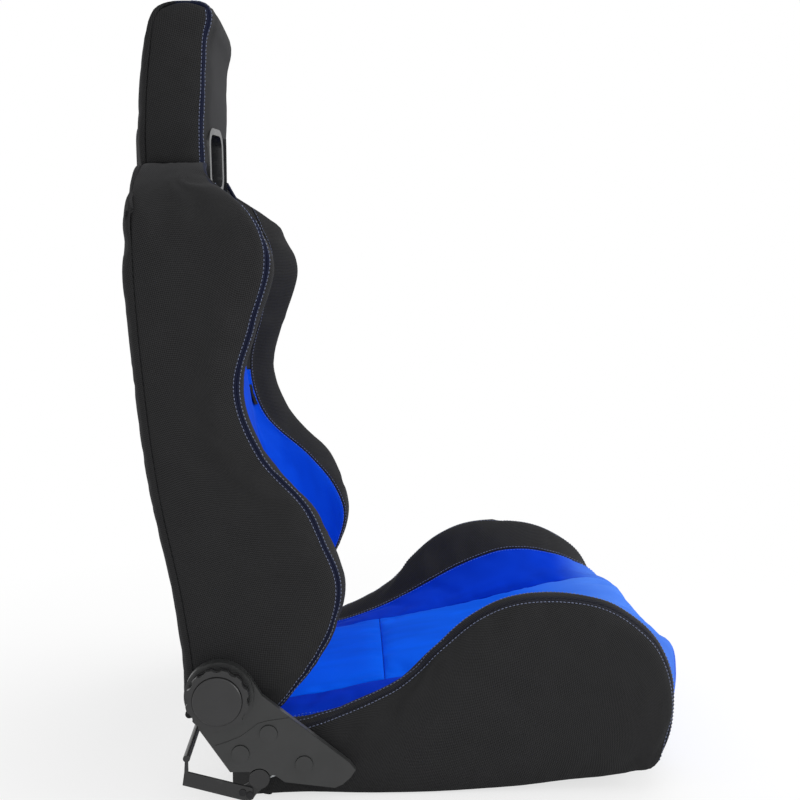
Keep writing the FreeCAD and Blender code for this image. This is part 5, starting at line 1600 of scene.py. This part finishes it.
# Foam and hem
@dataclass
class Padding:
    """Moulded foam under the covers, remeshed from its frame solids so that its edges are soft."""

    voxel_mm: float = 6
    draw_in_mm: float = 7
    smooth_steps: int = 3
    merge_distance: float = 1e-5

    def build(self, finishes: Finishes) -> None:
        """Build and dress the three foam pieces.

        Args:
            finishes: Finishes of the seat.
        """
        for node, body in (("cushion_foam", Body.BASE), ("back_foam", Body.BACK), ("head_foam", Body.BACK)):
            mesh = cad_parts[node].data.copy()
            piece = bpy.data.objects.new(node.replace("_foam", "_padding"), mesh)
            bpy.context.scene.collection.objects.link(piece)
            only(piece)
            bpy.ops.object.mode_set(mode="EDIT")
            bpy.ops.mesh.select_all(action="SELECT")
            bpy.ops.mesh.remove_doubles(threshold=self.merge_distance)
            bpy.ops.object.mode_set(mode="OBJECT")
            remesh = piece.modifiers.new("foam", "REMESH")
            remesh.mode = "VOXEL"
            remesh.voxel_size = self.voxel_mm * MM
            remesh.use_smooth_shade = True
            soften = piece.modifiers.new("soften", "SMOOTH")
            soften.factor = 0.5
            soften.iterations = self.smooth_steps
            draw_in = piece.modifiers.new("draw_in", "DISPLACE")
            draw_in.strength = -self.draw_in_mm * MM
            draw_in.mid_level = 0
            apply_modifiers(piece)
            dress(piece, finishes["foam"], body)
            pad(node)


@dataclass
class Hem:
    """Rolled hem along the backrest's lower rear edge, gathered a little along its length."""

    x: float = -263
    z: float = 95
    radius: float = 5
    half: float = 232
    # Places close to each end, where the roll closes, and the even step between them.
    ends: tuple = (0, 0.6, 2, 4)
    step: float = 4
    end_share: float = 0.35
    # Depth of the gathers, and the pace of their fine and their slow waves along the hem.
    gather: float = 0.35
    waves: tuple = (0.55, 0.13)
    sides: int = 20
    # Cloth round the roll from one side to the next, in metres.
    side_cloth: float = 0.0016

    def build(self, finishes: Finishes) -> None:
        """Build and dress the hem roll.

        Args:
            finishes: Finishes of the seat.
        """
        near = np.array(self.ends)
        far = near[-1]
        middle = np.arange(-self.half + far + self.step, self.half - far, self.step)
        places = np.concatenate([near - self.half, middle, self.half - near[::-1]])
        rows = []
        for y in places:
            inward = min(self.half - abs(y), far) / far
            radius = self.radius * (self.end_share + (1 - self.end_share)
                                    * math.sqrt(max(1 - (1 - inward) ** 2, 0)))
            radius += self.gather * math.sin(y * self.waves[0]) * math.sin(y * self.waves[1]) - self.gather
            rows.append([(self.x + radius * math.cos(turn), y, self.z + radius * math.sin(turn))
                         for turn in np.linspace(0, 2 * math.pi, self.sides + 1)[:-1]])
        points = np.array(rows).reshape(-1, 3) * MM
        faces = []
        for start in range(0, len(points) - self.sides, self.sides):
            for corner in range(self.sides):
                beside = (corner + 1) % self.sides
                faces.append((start + corner, start + self.sides + corner, start + self.sides + beside,
                              start + beside))
        faces.append(tuple(range(self.sides)))
        faces.append(tuple(reversed(range(len(points) - self.sides, len(points)))))
        piece = new_object("back_hem_roll", points, faces)
        layer = piece.data.uv_layers.new(name="cloth")
        for loop in piece.data.loops:
            index = loop.vertex_index
            layer.data[loop.index].uv = (points[index][1], (index % self.sides) * self.side_cloth)
        piece.data.attributes.new("seam_tint", "FLOAT", "POINT")
        dress(piece, finishes["cloth"], Body.BACK)
        pad("back_hem")


# Hard parts
@dataclass
class HardParts:
    """Frame solids that keep their own meshes, each with the finish of what it is made of."""

    uses: dict = field(default_factory=lambda: {
        "cover": ("recliner_cover_left", "recliner_cover_right", "cover_plugs"),
        "wheel": ("hand_wheel_left", "hand_wheel_right", "wheel_caps"),
        "bezel": ("slot_bezels_front", "slot_bezels_rear"),
        "coated": ("base_rail_left", "base_rail_right", "base_cross_tubes", "recliner_base_plates",
                   "fold_plates", "back_side_plates", "back_hoop_tube", "back_cross_tubes", "head_hoop_tube"),
        "lever": ("release_arms", "lever_hub_plates", "release_bar"),
        "mechanism": ("plate_bolts", "plate_nuts", "plate_spacers", "back_plate_bolts", "back_plate_spacers",
                      "recliner_rings", "recliner_inner_discs", "recliner_outer_discs", "latch_pawls",
                      "cover_screws", "plate_spring_pins", "pawl_spring_pins"),
        "bright": ("sync_rod", "lever_shafts", "drive_hubs"),
        "spring": ("cushion_springs", "back_springs", "release_springs"),
        "bush": ("fold_bushes",),
        "rivet": ("release_rivets",),
        "label": ("trim_tag",)})

    def dress(self, finishes: Finishes) -> None:
        """Give every node its material and report it.

        Args:
            finishes: Finishes of the seat.
        """
        for use, nodes in self.uses.items():
            for node in nodes:
                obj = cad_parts[node]
                if not obj.material_slots:
                    obj.data.materials.append(finishes[use])
                for slot in obj.material_slots:
                    slot.material = finishes[use]
                LOG.info("%s: %s", node, finishes[use].name)


@dataclass
class CapJoint:
    """Thin black ring in the joint between each hand wheel and its cap, put there as painted shadow of the
    gap.

    Sizes are in millimetres. The ring stands a little proud of the wheel's face.
    """

    axis_x: float = -223
    axis_z: float = 133
    inner: float = 27.3
    outer: float = 28.3
    depth: float = 0.5
    rounding: float = 0.15
    proud: float = 0.12

    def ring(self) -> bpy.types.Object:
        """Model one ring about the wheels' axis in the seat's middle.

        Returns:
            The ring, which is copied to both wheels.
        """
        deselect()
        bpy.ops.mesh.primitive_circle_add(vertices=72, radius=self.inner * MM, rotation=(math.pi / 2, 0, 0),
                                          location=(self.axis_x * MM, 0, self.axis_z * MM))
        ring = bpy.context.object
        bpy.ops.object.mode_set(mode="EDIT")
        bpy.ops.mesh.select_all(action="SELECT")
        bpy.ops.mesh.extrude_edges_move()
        grow = self.outer / self.inner
        bpy.ops.transform.resize(value=(grow, grow, grow), center_override=ring.location)
        bpy.ops.mesh.select_all(action="SELECT")
        bpy.ops.mesh.normals_make_consistent(inside=False)
        bpy.ops.object.mode_set(mode="OBJECT")
        bpy.ops.object.transform_apply(location=True, rotation=True, scale=True)
        wall = ring.modifiers.new("wall", "SOLIDIFY")
        wall.thickness = self.depth * MM
        wall.offset = 0
        edge = ring.modifiers.new("edge", "BEVEL")
        edge.width = self.rounding * MM
        edge.segments = 2
        apply_modifiers(ring)
        return ring

    def build(self, finishes: Finishes) -> None:
        """Copy the ring to both wheels and dress the copies.

        Args:
            finishes: Finishes of the seat.
        """
        ring = self.ring()
        for word, side in SIDES:
            low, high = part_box(f"hand_wheel_{word}")
            face = low[1] if side < 0 else high[1]
            mesh = ring.data.copy()
            mesh.transform(Matrix.Translation((0, face + side * self.proud * MM, 0)))
            copy = bpy.data.objects.new(f"cap_joint_{word}", mesh)
            bpy.context.scene.collection.objects.link(copy)
            dress(copy, finishes["seal"], Body.DRIVE)
        discard(ring)


# Studio
@dataclass
class Studio:
    """Pale floor, soft light and the photograph's camera."""

    camera_place: tuple = (-0.0741, -1.493, 0.587)
    pitch_down: float = 5.6
    yaw: float = 2.6
    lens: float = 50.0
    floor_size: float = 14.0
    floor_drop: float = 0.0005
    # Fibre of the floor's paper, drawn coarse in millimetres so that it shows near the seat.
    fibre_mm: float = 25 / 6
    # The floor's own shade shows near the seat and turns to plain white between these distances.
    shadow_reach: tuple = (0.35, 1.1)
    floor_white: float = 0.7
    world_level: float = 0.53
    # Name, place, target, size in metres and power in watts of each soft lamp.
    lamps: tuple = (("lamp_top", (0.9, 0.4, 2.5), (0.1, 0, 0.2), 1.6, 22.0),
                    ("lamp_front", (2.2, -0.5, 1.2), (0.1, 0, 0.4), 1.5, 24.0),
                    ("lamp_side", (0.2, -2.8, 1.2), (0, 0, 0.3), 1.8, 17.0),
                    ("lamp_back", (-1.6, 1.6, 1.6), (-0.1, 0, 0.4), 2.0, 10.0))

    def build(self) -> None:
        """Make the floor, the lamps, the world and the camera."""
        self._floor()
        self._lamps()
        self._world()
        data = bpy.data.cameras.new("camera")
        data.lens = self.lens
        data.sensor_width = 36
        camera = bpy.data.objects.new("camera", data)
        camera.location = self.camera_place
        camera.rotation_euler = (math.radians(90 - self.pitch_down), 0, math.radians(-self.yaw))
        bpy.context.scene.collection.objects.link(camera)
        bpy.context.scene.camera = camera
        bpy.context.scene.view_settings.view_transform = "Standard"

    def _floor(self) -> None:
        """Lay a wide pale floor just under the rails."""
        deselect()
        bpy.ops.mesh.primitive_plane_add(size=self.floor_size, location=(0, 0, -self.floor_drop))
        floor = bpy.context.object
        floor.name = "studio_floor"
        material, tree, shader = new_material("matt_floor_paper")
        place = add(tree, "TexCoord").outputs["Object"]
        fibre = add(tree, "TexNoise", {"Vector": place, "Scale": 1 / (self.fibre_mm * MM), "Detail": 3.0})
        shade = add(tree, "Mix", {0: fibre.outputs["Fac"], 6: "#f4f4f4", 7: "#f8f8f8"}, data_type="RGBA")
        feed(tree, shader, {"Base Color": shade.outputs[2], "Roughness": 0.9})
        away = add(tree, "VectorMath", {0: place}, operation="LENGTH").outputs["Value"]
        fade = add(tree, "MapRange", {0: away, 1: self.shadow_reach[0], 2: self.shadow_reach[1],
                                      3: self.floor_white, 4: 1.0}).outputs[0]
        white = add(tree, "Emission", {"Color": "#ffffff", "Strength": 1.0}).outputs[0]
        share = add(tree, "Math", {0: fade, 1: seen_rays(tree)}, operation="MULTIPLY").outputs[0]
        mix = add(tree, "MixShader", {0: share, 1: shader.outputs[0], 2: white})
        feed(tree, tree.nodes["Material Output"], {"Surface": mix.outputs[0]})
        floor.data.materials.append(material)

    def _lamps(self) -> None:
        """Hang four soft lamps: overhead, before the front, beside the camera and behind."""
        for name, place, target, size, power in self.lamps:
            data = bpy.data.lights.new(name, "AREA")
            data.energy = power
            data.shape = "SQUARE"
            data.size = size
            lamp = bpy.data.objects.new(name, data)
            lamp.location = place
            lamp.rotation_euler = (Vector(place) - Vector(target)).to_track_quat("Z", "Y").to_euler()
            bpy.context.scene.collection.objects.link(lamp)

    def _world(self) -> None:
        """Show white to the camera and in reflections, and light the seat with a plain grey level."""
        world = bpy.data.worlds.new("studio")
        bpy.context.scene.world = world
        world.use_nodes = True
        tree = world.node_tree
        tree.nodes.clear()
        level = add(tree, "MapRange", {0: seen_rays(tree), 3: self.world_level, 4: 1.0}).outputs[0]
        sky = add(tree, "Background", {"Color": "#ffffff", "Strength": level})
        add(tree, "OutputWorld", {"Surface": sky.outputs[0]})


def main() -> None:
    """Build the seat's looks in order: covers, slots, foam, hard parts and the studio."""
    logging.basicConfig(level=logging.INFO, format="%(message)s")
    finishes = Finishes()
    Cushion().build(finishes)
    slotted = Backrest().build(finishes)
    slotted.update(Headrest().build(finishes))
    HarnessSlots().cut(slotted)
    Padding().build(finishes)
    Hem().build(finishes)
    HardParts().dress(finishes)
    CapJoint().build(finishes)
    Studio().build()


if __name__ == "__main__":
    main()
